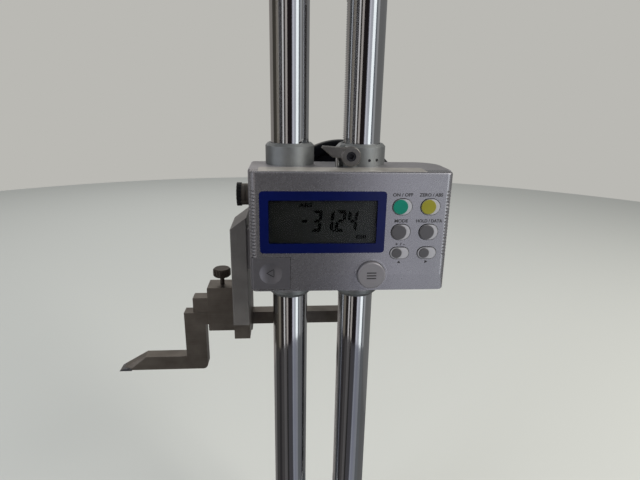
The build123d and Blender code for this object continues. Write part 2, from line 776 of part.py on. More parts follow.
def make_hand_wheel():
    """Dished hand wheel with a rounded rim, a pierced web and a hub."""
    back = wheel_front + wheel_rim_depth
    inner = wheel_radius - wheel_rim_width
    rim = spun([(inner, wheel_front), (wheel_radius, wheel_front), (wheel_radius, back), (inner, back)],
               (wheel_x, 0, pinion_z), "Y")
    rim = fillet(rim.edges().filter_by(GeomType.CIRCLE), wheel_rim_round)
    hub_front = wheel_hub_front()
    hub_back = hub_front + wheel_hub_length
    middle = wheel_front + (wheel_rim_depth - wheel_web) / 2
    points = [(0, hub_front), (wheel_hub_radius, hub_front), (wheel_hub_radius, middle - wheel_dish),
              (inner + 1, middle), (inner + 1, middle + wheel_web),
              (wheel_hub_radius, middle + wheel_web - wheel_dish),
              (wheel_hub_radius, hub_back), (0, hub_back)]
    wheel = rim + spun(points, (wheel_x, 0, pinion_z), "Y")
    for index in range(wheel_holes):
        angle = math.radians(90 + 360 / wheel_holes * (index + 0.5))
        x = wheel_x + wheel_hole_circle * math.cos(angle)
        z = pinion_z + wheel_hole_circle * math.sin(angle)
        wheel -= rod_y(wheel_hole_radius, wheel_front, back, x, z)
    wheel -= rod_y(wheel_shaft_radius + fit, hub_front, hub_back, wheel_x, pinion_z)
    grip_z = pinion_z + grip_circle
    return wheel - rod_y(grip_pin_radius + fit, wheel_front, back, wheel_x, grip_z)


def make_wheel_cap():
    """Round cap screwed to the end of the hand-wheel shaft."""
    back = wheel_hub_front() + wheel_hub_length
    cap = rod_y(wheel_hub_radius - wheel_dish, back, back + cap_height, wheel_x, pinion_z)
    return fillet(cap.faces().sort_by(Axis.Y)[-1].edges(), cap_height / 3)


def grip_seat():
    """Y of the web's rear face at the grip's pin."""
    return wheel_front + (wheel_rim_depth + wheel_web) / 2


def make_grip_pin():
    """Shouldered pin that the finger grip turns on."""
    seat = grip_seat()
    end = seat + grip_length
    points = [(0, seat - wheel_web), (grip_pin_radius, seat - wheel_web), (grip_pin_radius, end), (0, end)]
    pin = spun(points, (wheel_x, 0, pinion_z + grip_circle), "Y")
    foot = rod_y(grip_pin_foot, seat + grip_foot_gap, seat + grip_foot_end, wheel_x, pinion_z + grip_circle)
    head = rod_y(grip_pin_foot, end, end + grip_head_thickness, wheel_x, pinion_z + grip_circle)
    return pin + foot + head


def make_finger_grip():
    """Turned grip that spins on its pin."""
    seat = grip_seat() + grip_foot_end + seat_gap
    end = grip_seat() + grip_length - seat_gap
    bore = grip_pin_radius + fit
    points = [(bore, seat), (grip_radius * grip_neck_share, seat),
              (grip_radius * grip_neck_share, seat + grip_taper / 3), (grip_radius, seat + grip_taper),
              (grip_radius, end - grip_taper / 3), (grip_radius * grip_neck_share, end), (bore, end)]
    return spun(points, (wheel_x, 0, pinion_z + grip_circle), "Y")


# ---------------------------------------------------------------- display unit
def make_front_shell():
    """Moulded front shell with the window, key, cap and battery openings and the grip ribs."""
    shell = block(-shell_left, shell_right, -shell_front, -body_front, body_bottom, deck)
    uprights = shell.edges().filter_by(Axis.Z).group_by(Axis.Y)[0]
    shell = fillet(uprights, shell_corner)
    shell = fillet(shell.faces().sort_by(Axis.Y)[0].edges().filter_by(Axis.X), shell_edge)
    shell -= block(-shell_left + shell_wall, shell_right - shell_wall, shell_inside, -body_front,
                   body_bottom + shell_wall, deck - shell_wall)
    ring_radius = cap_radius + side_gap + cap_ring_wall
    shell -= skirt_waste() - rod_y(ring_radius, -shell_front - cap_proud, shell_inside, cap_x, cap_z)
    shell += rod_y(ring_radius, -shell_front - cap_ring_proud, shell_inside, cap_x, cap_z)
    shell -= rod_y(cap_radius + side_gap, -shell_front - cap_proud, shell_inside, cap_x, cap_z)
    low, high = deck - bezel_top - bezel_height, deck - bezel_top
    shell -= panel(-bezel_left - fit, bezel_right + fit, low - fit, high + fit, bezel_corner, -shell_front,
                   -shell_front + bezel_thickness - bezel_proud)
    shell -= display_pane(glass_lap, -shell_front, shell_inside)
    for x, z, height in key_places():
        opening = SlotOverall(key_length + 2 * side_gap, height + 2 * side_gap)
        shell -= slab(opening, -shell_front, shell_inside, x, z)
    shell -= block(-shell_left, cover_right + side_gap, -shell_front, -shell_front + cover_thickness,
                   body_bottom + cover_lip, deck - cover_top + side_gap)
    shell -= rod_y(cell_radius + side_gap, -shell_front, shell_inside, dish_x, dish_z)
    shell -= rib_grooves(-shell_left) + rib_grooves(shell_right)
    for x, z in shell_post_places():
        shell += rod_y(post_radius, shell_inside - edge_break, board_front, x, z)
    return shell


def skirt_waste():
    """Wedge taken off the lower band of the front face, with a slanted left end."""
    margin = shell_wall / 2
    top, low = deck - skirt_top, body_bottom - margin
    side = [(-shell_front, top), (-shell_front - margin, top), (-shell_front - margin, low),
            (-shell_front + skirt_set_back, low)]
    length = shell_right - skirt_left_bottom + margin
    wedge = extrude(Plane.YZ * make_face(Polyline(*side, close=True)), amount=length)
    wedge = Pos(skirt_left_bottom, 0, 0) * wedge
    drop = top - low
    lean = [(skirt_left_bottom - margin, 0), (skirt_left_top, 0), (skirt_left_bottom, drop),
            (skirt_left_bottom - margin, drop)]
    lean_face = make_face(Polyline(*lean, close=True))
    return wedge - slab(lean_face, -shell_front - cap_proud, shell_inside, 0, top)


def rib_grooves(x):
    """Grip grooves cut slantwise into one front corner of the shell, whose side face is at x."""
    half = rib_reach / math.sqrt(2)
    grooves = []
    for index in range(rib_count):
        z = deck - rib_top - index * rib_pitch
        grooves.append(Pos(x, -shell_front, 0) * Rot(0, 0, 45) * block(-half, half, -half, half, z - rib_cut, z))
    return grooves


def shell_post_places():
    """X and Z of the posts that carry the display board."""
    low, high = body_bottom + shell_wall + post_radius + 2, deck - shell_wall - post_radius - 1
    return [(window_right + 6, high), (window_right + 3.2, low + 14), (shell_right - shell_wall - 4, high),
            (shell_right - shell_wall - 4, low), (cover_right + 6, low), (-window_left + 10, high)]


def key_places():
    """Centre X, centre Z and height of the six keys, row by row."""
    places = []
    for row, drop in enumerate(key_rows):
        height = small_key_height if row == len(key_rows) - 1 else key_height
        places += [(x, deck - drop, height) for x in (key_left_x, key_right_x)]
    return places


def cap_size(height):
    """Radius and sideways offset of the round button in a key of the given height."""
    small = height == small_key_height
    return (small_cap_radius, small_cap_offset) if small else (key_cap_radius, key_cap_offset)


def make_key(x, z, height):
    """Oblong key with a retaining flange behind the shell."""
    front = -shell_front - key_proud
    flange_front = shell_inside + key_flange_gap
    stem = slab(SlotOverall(key_length, height), front, flange_front + key_flange, x, z)
    stem = fillet(stem.faces().sort_by(Axis.Y)[0].edges(), key_cap_round)
    flange = slab(SlotOverall(key_length + 2 * key_flange, height + 2 * key_flange), flange_front,
                  flange_front + key_flange, x, z)
    radius, offset = cap_size(height)
    return stem + flange - rod_y(radius + fit, front, front + key_cap_height, x - offset, z)


def make_key_cap(x, z, height):
    """Coloured round button set into the key."""
    front = -shell_front - key_proud
    radius, offset = cap_size(height)
    cap = rod_y(radius, front - key_cap_height, front + key_cap_height, x - offset, z)
    return fillet(cap.faces().sort_by(Axis.Y)[0].edges(), key_cap_round)


def make_bezel():
    """Rounded frame round the display window."""
    front = -shell_front - bezel_proud
    low = deck - bezel_top - bezel_height
    back = front + bezel_thickness
    frame = panel(-bezel_left, bezel_right, low, deck - bezel_top, bezel_corner, front, back)
    window_low = deck - window_top - window_height
    return frame - panel(-window_left, window_right, window_low, deck - window_top, window_corner,
                         front, back)


def display_pane(lap, y_low, y_high):
    """Flat pane behind the bezel that laps its window."""
    low = deck - window_top - window_height
    return panel(-window_left - lap, window_right + lap, low - lap, deck - window_top + lap, window_corner,
                 y_low, y_high)


def make_board():
    """Display circuit board behind the keys."""
    high = deck - shell_wall - 1
    low = body_bottom + shell_wall + 1
    right = shell_right - shell_wall - 1
    board = block(cover_right + side_gap, right, board_front, board_front + board_thickness, low, high)
    return board + block(-window_left, cover_right + 1, board_front, board_front + board_thickness,
                         deck - cover_top + post_radius, high)


def make_key_mat():
    """Rubber switch mat between the keys and the board."""
    places = key_places()
    left = min(x for x, _, _ in places) - key_length / 2 - 0.5
    right = max(x for x, _, _ in places) + key_length / 2 + 0.5
    low = min(z for _, z, _ in places) - small_key_height / 2 - 0.5
    high = max(z for _, z, _ in places) + key_height / 2 + 0.5
    mat = block(left, right, mat_back - mat_thickness / 2, mat_back, low, high)
    for x, z, _ in places:
        dome = rod_y(small_cap_radius, mat_back - mat_thickness, mat_back, x, z)
        mat += dome
    return mat


def make_battery_cover():
    """Sliding cover with a thumb dish, flush with the lower left corner."""
    front, back = -shell_front, -shell_front + cover_thickness - fit
    cover = block(-shell_left, cover_right, front, back, body_bottom + cover_lip + side_gap, deck - cover_top)
    edge = cover.edges().filter_by(Axis.Z).group_by(Axis.Y)[0].sort_by(Axis.X)[0]
    cover = fillet(edge, cover_thickness - edge_break)
    ball = (dish_radius**2 + dish_depth**2) / (2 * dish_depth)
    return cover - Pos(dish_x, front - ball + dish_depth, dish_z) * Sphere(ball)


def make_cell_holder():
    """Cup behind the front wall that holds the button cell."""
    back = shell_inside + cell_height + holder_wall
    cup = rod_y(cell_radius + holder_wall, shell_inside, back, dish_x, dish_z)
    return cup - rod_y(cell_radius + fit, shell_inside, shell_inside + cell_height, dish_x, dish_z)


def make_socket_cap():
    """Round protective cap of the data socket, standing proud of the face."""
    cap = rod_y(cap_radius, -shell_front - cap_proud, shell_inside, cap_x, cap_z)
    return fillet(cap.faces().sort_by(Axis.Y)[0].edges(), cap_edge)


def make_data_socket():
    """Connector body behind the cap, standing on the display board."""
    return rod_y(socket_radius, shell_inside, board_front, cap_x, cap_z)


def make_sensor_board():
    """Encoder reading board on posts in the slider body."""
    back = works_back - 4
    xs = [x for x, _ in board_post_places()]
    zs = [z for _, z in board_post_places()]
    board = block(min(xs) - 4, max(xs) + 4, back - board_thickness, back, min(zs) - 4, max(zs) + 4)
    reader_x = pinion_x + encoder_radius * 0.6
    reader = block(reader_x - 3, reader_x + 3, back, works_back - encoder_gap - encoder_thickness - 0.4,
                   pinion_z - 5, pinion_z + 5)
    return board + reader


def make_encoder_disc():
    """Encoder disc on the front end of the pinion shaft."""
    low = works_back - encoder_gap - encoder_thickness
    disc = rod_y(encoder_radius, low, low + encoder_thickness, pinion_x, pinion_z)
    return disc - rod_y(pinion_shaft_radius + fit, low, low + encoder_thickness, pinion_x, pinion_z)


# ---------------------------------------------------------------- side clamp knob
def make_side_knob():
    """Black grip disc of the side clamp."""
    inner = -body_left - side_stem_length
    outline = notched_disc(side_knob_radius, side_knob_notches, 0.5)
    disc = extrude(Plane.YZ * outline, amount=side_knob_width)
    return Pos(inner - side_knob_width, 0, deck - side_knob_drop) * disc


def make_side_stem():
    """Metal collar and thread of the side clamp."""
    z = deck - side_knob_drop
    outer = -body_left - side_stem_length
    stem = rod_x(side_stem_radius, outer, -body_left - fit, 0, z)
    stem = chamfer(stem.edges().filter_by(GeomType.CIRCLE).group_by(Axis.X)[-1], edge_break)
    column_face = left_x - column_radius
    return stem + rod_x(side_thread_radius, -body_left - 1, column_face - side_shoe_length - side_gap, 0, z)


def make_side_shoe():
    """Brass shoe between the side clamp's thread and the column."""
    column_face = left_x - column_radius
    low = column_face - side_shoe_length - side_gap + fit
    return rod_x(side_thread_radius, low, column_face - side_gap, 0, deck - side_knob_drop)


# ---------------------------------------------------------------- measuring arm, jaw and scriber
def make_arm():
    """Cast arm beside the display, with a sloped top and a stepped foot."""
    heel = arm_heel + arm_foot_back - arm_back
    profile = [(-arm_front, -arm_top), (arm_back, -arm_top), (arm_back, -arm_heel), (arm_foot_back, -heel),
               (arm_foot_back, -jaw_top), (jaw_front, -jaw_top), (jaw_front, -arm_nose),
               (-arm_front, -arm_nose)]
    face = make_face(Polyline(*profile, close=True))
    arm = Pos(-arm_left, 0, deck) * extrude(Plane.YZ * face, amount=arm_left - arm_right)
    slope = [(-arm_left, -arm_shoulder), (-arm_left - 1, -arm_shoulder), (-arm_left - 1, -arm_top + 1),
             (-arm_right, -arm_top + 1), (-arm_right, -arm_top)]
    wedge = extrude(Plane.XZ * make_face(Polyline(*slope, close=True)), amount=2 * arm_foot_back, both=True)
    arm -= Pos(0, 0, deck) * wedge
    arm = fillet(arm.edges().filter_by(Axis.Z).group_by(Axis.Y)[0], arm_edge)
    for y, z in arm_screw_places():
        arm -= rod_x(arm_screw_radius + fit, -arm_left, -arm_right, y, z)
        arm -= rod_x(arm_screw_head + fit, -arm_left, -arm_left + 4.5, y, z)
    return arm


def make_arm_screws():
    """Two socket screws that hold the arm to the slider body."""
    screw = Rot(0, -90, 0) * cap_screw(arm_screw_head, 4.0, arm_screw_radius, arm_left - arm_right + 3)
    return [Pos(-arm_left + 4.5, y, z) * screw for y, z in arm_screw_places()]


def make_jaw():
    """Steel jaw: a stepped block under the arm and the bar that the scriber is clamped to."""
    profile = [(jaw_front, -jaw_top), (arm_foot_back, -jaw_top), (arm_foot_back, -jaw_bottom),
               (jaw_step, -jaw_bottom), (jaw_step, -jaw_nose_bottom), (-jaw_nose_front, -jaw_nose_bottom),
               (-jaw_nose_front, -arm_nose), (jaw_front, -arm_nose)]
    face = make_face(Polyline(*profile, close=True))
    jaw = Pos(-arm_left, 0, deck) * extrude(Plane.YZ * face, amount=arm_left - arm_right)
    bar_low = deck - shank_top + seat_gap
    bar = block(-jaw_end, -arm_left + 1, shank_front, shank_back, bar_low, bar_low + jaw_bar_height)
    jaw += chamfer(bar.faces().sort_by(Axis.X)[0].edges(), edge_break)
    slot_bottom = deck - shank_top - shank - seat_gap
    return jaw - block(-arm_left, -arm_right, shank_front - seat_gap, shank_back + seat_gap,
                       slot_bottom, bar_low)


def nose_waste():
    """Wedge of metal ground off above the scriber's long bevel."""
    edge = -scriber_drop + nose_edge
    run = nose_end - foot_bevel_start
    rise = -foot_top - edge
    outline = [(-nose_end - run, edge - rise), (-foot_bevel_start + run, -foot_top + rise),
               (-nose_end - run, -foot_top + rise)]
    wedge = extrude(Plane.XZ * make_face(Polyline(*outline, close=True)), amount=2 * shank_back, both=True)
    return Pos(0, 0, deck) * wedge


def facet_waste():
    """Corner ground off beside the bevel, on the side towards the display."""
    start = Vector(-foot_bevel_start, shank_front, deck - foot_top - facet_drop)
    middle = Vector(-carbide_start, shank_front, deck - scriber_drop + carbide_height)
    end = Vector(-nose_end, shank_front + facet_reach, deck - scriber_drop + carbide_proud)
    outward = (end - start).cross(middle - start)
    size = 2 * (nose_end - foot_bevel_start)
    half_space = extrude(Plane(origin=start, z_dir=outward) * Rectangle(2 * size, 2 * size), amount=size)
    low, high = deck - scriber_drop - shank, deck - foot_top + edge_break
    corner = block(-nose_end - size, -foot_bevel_start + shank / 2, 0, shank_back + shank, low, high)
    return half_space & corner


def make_scriber():
    """L-shaped scriber with a chisel nose, let in for the carbide insert."""
    foot_low = -scriber_drop + carbide_proud
    shank_low = -shank_top - shank
    outline = [(scriber_tail, -shank_top), (scriber_tail, shank_low), (-scriber_left + leg_width, shank_low),
               (-scriber_left + leg_width, foot_low), (-nose_end, foot_low), (-nose_end, -foot_top),
               (-scriber_left, -foot_top), (-scriber_left, -shank_top)]
    face = make_face(Polyline(*outline, close=True))
    body = Pos(0, shank_back, deck) * extrude(Plane.XZ * face, amount=shank)
    heel = body.edges().filter_by(Axis.Y).group_by(Axis.Z)[0].sort_by(Axis.X)[-1]
    body = fillet(heel, leg_corner)
    body -= nose_waste()
    body -= facet_waste()
    return body - carbide_blank(fit)


def carbide_blank(grow):
    """Flat carbide insert under the nose, grown all round where it is let into the foot."""
    low, high = deck - scriber_drop - grow, deck - scriber_drop + carbide_height + grow
    return block(-nose_end - grow, -carbide_start + grow, shank_front - grow, shank_back + grow, low, high)


def make_carbide_tip():
    """Carbide insert, ground to the nose's bevel so that its lower edge is sharp."""
    return carbide_blank(0) - nose_waste()


def box_front():
    """Y of the clamp box's front face."""
    return shank_front - seat_gap - box_wall


def box_top():
    """Z of the clamp box's top face."""
    return deck - shank_top + seat_gap + jaw_bar_height + pad_height + 2 * fit + box_roof


def make_clamp_box():
    """Clamp box that embraces the jaw bar and the scriber shank."""
    bottom = deck - shank_top - shank - seat_gap - box_wall
    box = block(-box_left, -box_right, box_front(), shank_back + seat_gap + box_wall, bottom, box_top())
    box = chamfer(box.edges().filter_by(Axis.Y), edge_break)
    box -= block(-box_left, -box_right, shank_front - seat_gap, shank_back + seat_gap, bottom + box_wall,
                 box_top() - box_roof)
    middle = (shank_front + shank_back) / 2
    return box - rod_z(thumb_stem_radius + fit, box_top() - box_roof, box_top(), -thumb_x, middle)


def make_pressure_pad():
    """Brass pad between the thumbscrew and the jaw bar."""
    low = deck - shank_top + seat_gap + jaw_bar_height + fit
    return block(-thumb_x - 4.5, -thumb_x + 4.5, shank_front + 0.5, shank_back - 0.5, low, low + pad_height)


def make_thumbscrew():
    """Thumbscrew with a notched head, a thin neck and a threaded stem."""
    head_low = box_top() + thumb_neck
    middle = (shank_front + shank_back) / 2
    head = extrude(notched_disc(thumb_radius, thumb_notches, 0.45), amount=thumb_height)
    rim, top = thumb_radius - thumb_edge, thumb_height
    cone = spun([(0, 0), (rim, 0), (thumb_radius, thumb_edge), (thumb_radius, top - thumb_edge), (rim, top),
                 (0, top)], (0, 0, 0))
    stem_low = box_top() - box_roof + fit
    stem = rod_z(thumb_stem_radius, stem_low - head_low, 0, 0, 0)
    return Pos(-thumb_x, middle, head_low) * ((head & cone) + stem)


# ---------------------------------------------------------------- all nodes
def all_nodes():
    """Every node of the gauge, by name."""
    nodes = {
        "base": make_base(),
        "left_column": make_column(left_x),
        "rack_column": make_rack_column(),
        "column_head": make_head(),
        "column_screws": make_column_bolts(column_bolt_head_height, True)
        + make_column_bolts(head_bottom + head_height - column_bolt_head_height, False),
        "slider_body": make_slider_body(),
        "guide_bushes": make_bushes(),
        "column_wipers": make_wipers(),
        "left_collar": make_collar(left_x),
        "clamp_collar": make_clamp_collar(),
        "collar_set_screws": make_collar_screws(),
        "stop_pin": rod_z(stop_pin_radius, deck, deck + stop_pin_height, stop_pin_x, -stop_pin_y),
        "clamp_lever": make_clamp_lever(),
        "clamp_screw": make_clamp_screw(),
        "clamp_shoes": [make_clamp_shoe(), make_side_shoe()],
        "pinion_bushes": make_pinion_bushes(),
        "pinion_shaft": make_pinion_shaft(),
        "rack_pinion": gear(pinion_teeth, -pinion_width / 2, pinion_width / 2, pinion_x, pinion_z,
                            pinion_shaft_radius + fit),
        "driven_gear": gear(driven_teeth, boss_back + gear_gap, boss_back + gear_gap + gear_width, pinion_x,
                            pinion_z, pinion_shaft_radius + fit),
        "drive_gear": gear(driver_teeth, boss_back + gear_gap, boss_back + gear_gap + gear_width, wheel_x,
                           pinion_z, wheel_journal_radius + fit, 180 / driver_teeth),
        "encoder_disc": make_encoder_disc(),
        "sensor_board": make_sensor_board(),
        "wheel_shaft": make_wheel_shaft(),
        "wheel_bushes": make_wheel_bushes(),
        "gear_cover": make_gear_cover(),
        "gear_cover_screws": make_cover_screws(),
        "hand_wheel": make_hand_wheel(),
        "wheel_cap": make_wheel_cap(),
        "grip_pin": make_grip_pin(),
        "finger_grip": make_finger_grip(),
        "front_shell": make_front_shell(),
        "display_bezel": make_bezel(),
        "display_glass": display_pane(glass_lap - fit, glass_front, glass_front + glass_thickness),
        "lcd_panel": display_pane(glass_lap - side_gap, lcd_front, board_front),
        "display_board": make_board(),
        "key_mat": make_key_mat(),
        "battery_cover": make_battery_cover(),
        "cell_holder": make_cell_holder(),
        "button_cell": rod_y(cell_radius, shell_inside, shell_inside + cell_height - fit, dish_x, dish_z),
        "socket_cap": make_socket_cap(),
        "data_socket": make_data_socket(),
        "side_knob": make_side_knob(),
        "side_knob_stem": make_side_stem(),
        "measuring_arm": make_arm(),
        "arm_screws": make_arm_screws(),
        "measuring_jaw": make_jaw(),
        "scriber": make_scriber(),
        "carbide_tip": make_carbide_tip(),
        "clamp_box": make_clamp_box(),
        "pressure_pad": make_pressure_pad(),
        "thumbscrew": make_thumbscrew(),
    }
    return nodes


def add_keys(nodes):
    """Six keys; the two coloured buttons are pieces of their own."""
    names = ("key_on_off", "key_zero_abs", "key_mode", "key_hold_data", "key_plus_minus", "key_arrow")
    for name, (x, z, height) in zip(names, key_places()):
        nodes[name] = make_key(x, z, height)
        if z > deck - key_rows[1]:
            nodes[name + "_button"] = make_key_cap(x, z, height)
        else:
            nodes[name] += make_key_cap(x, z, height)


def write_nodes(nodes):
    """Write one STEP file per node."""
    os.makedirs("parts", exist_ok=True)
    for name, shape in nodes.items():
        body = Compound(children=list(shape)) if isinstance(shape, list) else shape
        body.label = name
        export_step(body, f"parts/{name}.step")


gauge = all_nodes()
add_keys(gauge)
write_nodes(gauge)
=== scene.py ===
"""Looks of the twin-column digital height gauge, dressed over its fixed frame.

Every length is in millimetres unless its name or its class says otherwise, and is turned to
metres by the function metres. A drop is a distance below the deck, the flat top of the display's
shell. The origin is under the base, X runs right along the display, Y runs away from it and Z
runs up the columns.
"""

import logging
import math
from dataclasses import dataclass, field, replace
from enum import Enum
from typing import Any, Iterable, Sequence

import bmesh
import bpy
from mathutils import Matrix, Vector

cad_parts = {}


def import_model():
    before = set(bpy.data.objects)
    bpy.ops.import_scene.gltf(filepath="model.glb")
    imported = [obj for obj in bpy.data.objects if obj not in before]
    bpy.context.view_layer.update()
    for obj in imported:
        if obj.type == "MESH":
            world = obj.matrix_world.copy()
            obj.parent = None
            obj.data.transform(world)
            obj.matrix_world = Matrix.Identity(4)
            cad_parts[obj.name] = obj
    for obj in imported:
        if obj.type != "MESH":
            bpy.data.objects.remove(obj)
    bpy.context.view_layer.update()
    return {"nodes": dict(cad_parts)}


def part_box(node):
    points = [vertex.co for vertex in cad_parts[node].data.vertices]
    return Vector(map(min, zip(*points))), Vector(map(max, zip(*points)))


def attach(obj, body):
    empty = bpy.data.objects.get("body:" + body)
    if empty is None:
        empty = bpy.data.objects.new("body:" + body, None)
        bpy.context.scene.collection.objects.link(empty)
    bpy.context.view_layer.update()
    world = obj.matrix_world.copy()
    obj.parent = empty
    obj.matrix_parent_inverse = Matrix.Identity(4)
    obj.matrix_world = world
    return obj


Point = tuple[float, float]
Triple = tuple[float, float, float]
LOG = logging.getLogger("height_gauge")
MM_IN_METRE = 1000.0


# ------------------------------------------------------------------ units, colours, nodes
def metres(length: float) -> float:
    """Turn millimetres into metres."""
    return length / MM_IN_METRE


def millimetres(length: float) -> float:
    """Turn metres into millimetres."""
    return length * MM_IN_METRE


def per_mm(size: float) -> float:
    """Texture scale whose pattern repeats about every size millimetres."""
    return MM_IN_METRE / size


def linear(code: str, alpha: float = 1.0) -> tuple[float, float, float, float]:
    """Turn an sRGB hex colour into the linear values that shaders use.

    Args:
        code: six hex digits, such as "8A8C90".
        alpha: opacity carried over unchanged.

    Returns:
        Red, green, blue and alpha.
    """
    parts = [int(code[i:i + 2], 16) / 255.0 for i in (0, 2, 4)]
    toned = [p / 12.92 if p <= 0.04045 else ((p + 0.055) / 1.055) ** 2.4 for p in parts]
    return (toned[0], toned[1], toned[2], alpha)


def add_node(tree: bpy.types.NodeTree, kind: str, settings: dict[str, Any] | None = None,
             inputs: dict[Any, Any] | None = None) -> bpy.types.Node:
    """Add a node with its settings, values and links.

    Args:
        tree: node tree that gets the node.
        kind: Blender's type name of the node.
        settings: attributes to set on the node.
        inputs: by socket name or number, a value or the output socket to link from.

    Returns:
        The new node.
    """
    node = tree.nodes.new(kind)
    for key, value in (settings or {}).items():
        setattr(node, key, value)
    for key, value in (inputs or {}).items():
        if isinstance(value, bpy.types.NodeSocket):
            tree.links.new(value, node.inputs[key])
        else:
            node.inputs[key].default_value = value
    return node


# ------------------------------------------------------------------ finishes
class Grain(Enum):
    """How a surface's grain runs, as the scale of its texture along X, Y and Z."""

    EVEN = (1.0, 1.0, 1.0)
    ALONG_X = (0.03, 1.0, 1.0)
    ALONG_Y = (1.0, 0.03, 1.0)
    ALONG_Z = (1.0, 1.0, 0.03)


class Axis(Enum):
    """Axis along which a turned surface's rings follow each other."""

    X = "X"
    Y = "Y"


# How strongly the fine grain shows in the mottled tone, and how far the mottle is spread.
GRAIN_SHARE = 0.35
MOTTLE_LOW = -0.35
MOTTLE_HIGH = 1.05
# Cosine between the face and its rounded normal, where the lighter edge starts and where it is
# full; it is part rubbed wear and part painted highlight.
WEAR_AND_HIGHLIGHT_START = 0.985
WEAR_AND_HIGHLIGHT_FULL = 0.86
BEVEL_SAMPLES = 4
BUMP_STRENGTH = 0.6
# Scale at which one band of the wave texture is one unit wide.
WAVE_UNIT = 2.0 * math.pi / 20.0
# Sockets of a colour Mix node, whose names its other modes share.
MIX_FACTOR, MIX_A, MIX_B, MIX_RESULT = 0, 6, 7, 2


@dataclass(frozen=True)
class Finish:
    """A solid surface with mottled tone, uneven gloss and a fine grain.

    The tone varies between tone and shade over patch_mm, the gloss by unevenness either way, and
    the grain over grain_mm. Edges over edge_mm show edge_tone, as strongly as edge_share: rubbed
    wear, and on some finishes a painted highlight too.
    """

    name: str
    tone: str
    shade: str
    roughness: float = 0.5
    unevenness: float = 0.06
    metallic: float = 0.0
    ior: float = 1.5
    patch_mm: float = 18.0
    grain_mm: float = 0.6
    grain_depth_mm: float = 0.01
    grain: Grain = Grain.EVEN
    edge_tone: str = ""
    edge_share: float = 0.35
    edge_mm: float = 0.35
    coat: float = 0.0
    coat_roughness: float = 0.1

    def place(self, tree: bpy.types.NodeTree) -> bpy.types.NodeSocket:
        """Return the object coordinates, stretched along the grain."""
        where = add_node(tree, "ShaderNodeTexCoord")
        stretched = add_node(tree, "ShaderNodeMapping", {},
                             {"Vector": where.outputs["Object"], "Scale": self.grain.value})
        return stretched.outputs[0]

    def fine(self, tree: bpy.types.NodeTree) -> bpy.types.NodeSocket:
        """Return the grain as a height from 0 to 1."""
        grain = add_node(tree, "ShaderNodeTexNoise", {},
                         {"Vector": self.place(tree), "Scale": per_mm(self.grain_mm), "Detail": 3.0})
        return grain.outputs["Fac"]

    def colour(self, tree: bpy.types.NodeTree, fine: bpy.types.NodeSocket) -> bpy.types.NodeSocket:
        """Return the mottled colour, with worn edges and painted edge highlight where the finish has them."""
        where = add_node(tree, "ShaderNodeTexCoord")
        patches = add_node(tree, "ShaderNodeTexNoise", {},
                           {"Vector": where.outputs["Object"], "Scale": per_mm(self.patch_mm), "Detail": 4.0})
        mottle = add_node(tree, "ShaderNodeMath", {"operation": "MULTIPLY_ADD"},
                          {0: fine, 1: GRAIN_SHARE, 2: patches.outputs["Fac"]})
        factor = add_node(tree, "ShaderNodeMapRange", {},
                          {"Value": mottle.outputs[0], "To Min": MOTTLE_LOW, "To Max": MOTTLE_HIGH})
        toned = add_node(tree, "ShaderNodeMix", {"data_type": "RGBA"},
                         {MIX_FACTOR: factor.outputs[0], MIX_A: linear(self.shade), MIX_B: linear(self.tone)})
        if not self.edge_tone:
            return toned.outputs[MIX_RESULT]
        # Rubbed wear and painted highlight: edges that the bevel rounds turn towards edge_tone.
        face = add_node(tree, "ShaderNodeNewGeometry")
        rounded = add_node(tree, "ShaderNodeBevel", {"samples": BEVEL_SAMPLES},
                           {"Radius": metres(self.edge_mm)})
        agree = add_node(tree, "ShaderNodeVectorMath", {"operation": "DOT_PRODUCT"},
                         {0: face.outputs["Normal"], 1: rounded.outputs[0]})
        sharp = add_node(tree, "ShaderNodeMapRange", {},
                         {"Value": agree.outputs["Value"], "From Min": WEAR_AND_HIGHLIGHT_START, "From Max": WEAR_AND_HIGHLIGHT_FULL,
                          "To Max": self.edge_share})
        wear_and_highlight = add_node(tree, "ShaderNodeMath", {"operation": "MULTIPLY"},
                          {0: sharp.outputs[0], 1: mottle.outputs[0]})
        worn_and_lit = add_node(tree, "ShaderNodeMix", {"data_type": "RGBA"},
                        {MIX_FACTOR: wear_and_highlight.outputs[0], MIX_A: toned.outputs[MIX_RESULT],
                         MIX_B: linear(self.edge_tone)})
        return worn_and_lit.outputs[MIX_RESULT]

    def shader(self, tree: bpy.types.NodeTree) -> bpy.types.Node:
        """Build the finish's surface shader."""
        fine = self.fine(tree)
        gloss = add_node(tree, "ShaderNodeMapRange", {}, {
            "Value": fine, "To Min": self.roughness - self.unevenness,
            "To Max": self.roughness + self.unevenness})
        bump = add_node(tree, "ShaderNodeBump", {},
                        {"Strength": BUMP_STRENGTH, "Distance": metres(self.grain_depth_mm), "Height": fine})
        return add_node(tree, "ShaderNodeBsdfPrincipled", {}, {
            "Base Color": self.colour(tree, fine), "Metallic": self.metallic, "Roughness": gloss.outputs[0],
            "IOR": self.ior, "Normal": bump.outputs[0], "Coat Weight": self.coat,
            "Coat Roughness": self.coat_roughness})

    def material(self) -> bpy.types.Material:
        """Return the Blender material, made on first use."""
        made = bpy.data.materials.get(self.name)
        if made is not None:
            return made
        made = bpy.data.materials.new(self.name)
        made.use_nodes = True
        tree = made.node_tree
        tree.nodes.clear()
        surface = self.shader(tree)
        add_node(tree, "ShaderNodeOutputMaterial", {}, {"Surface": surface.outputs[0]})
        return made


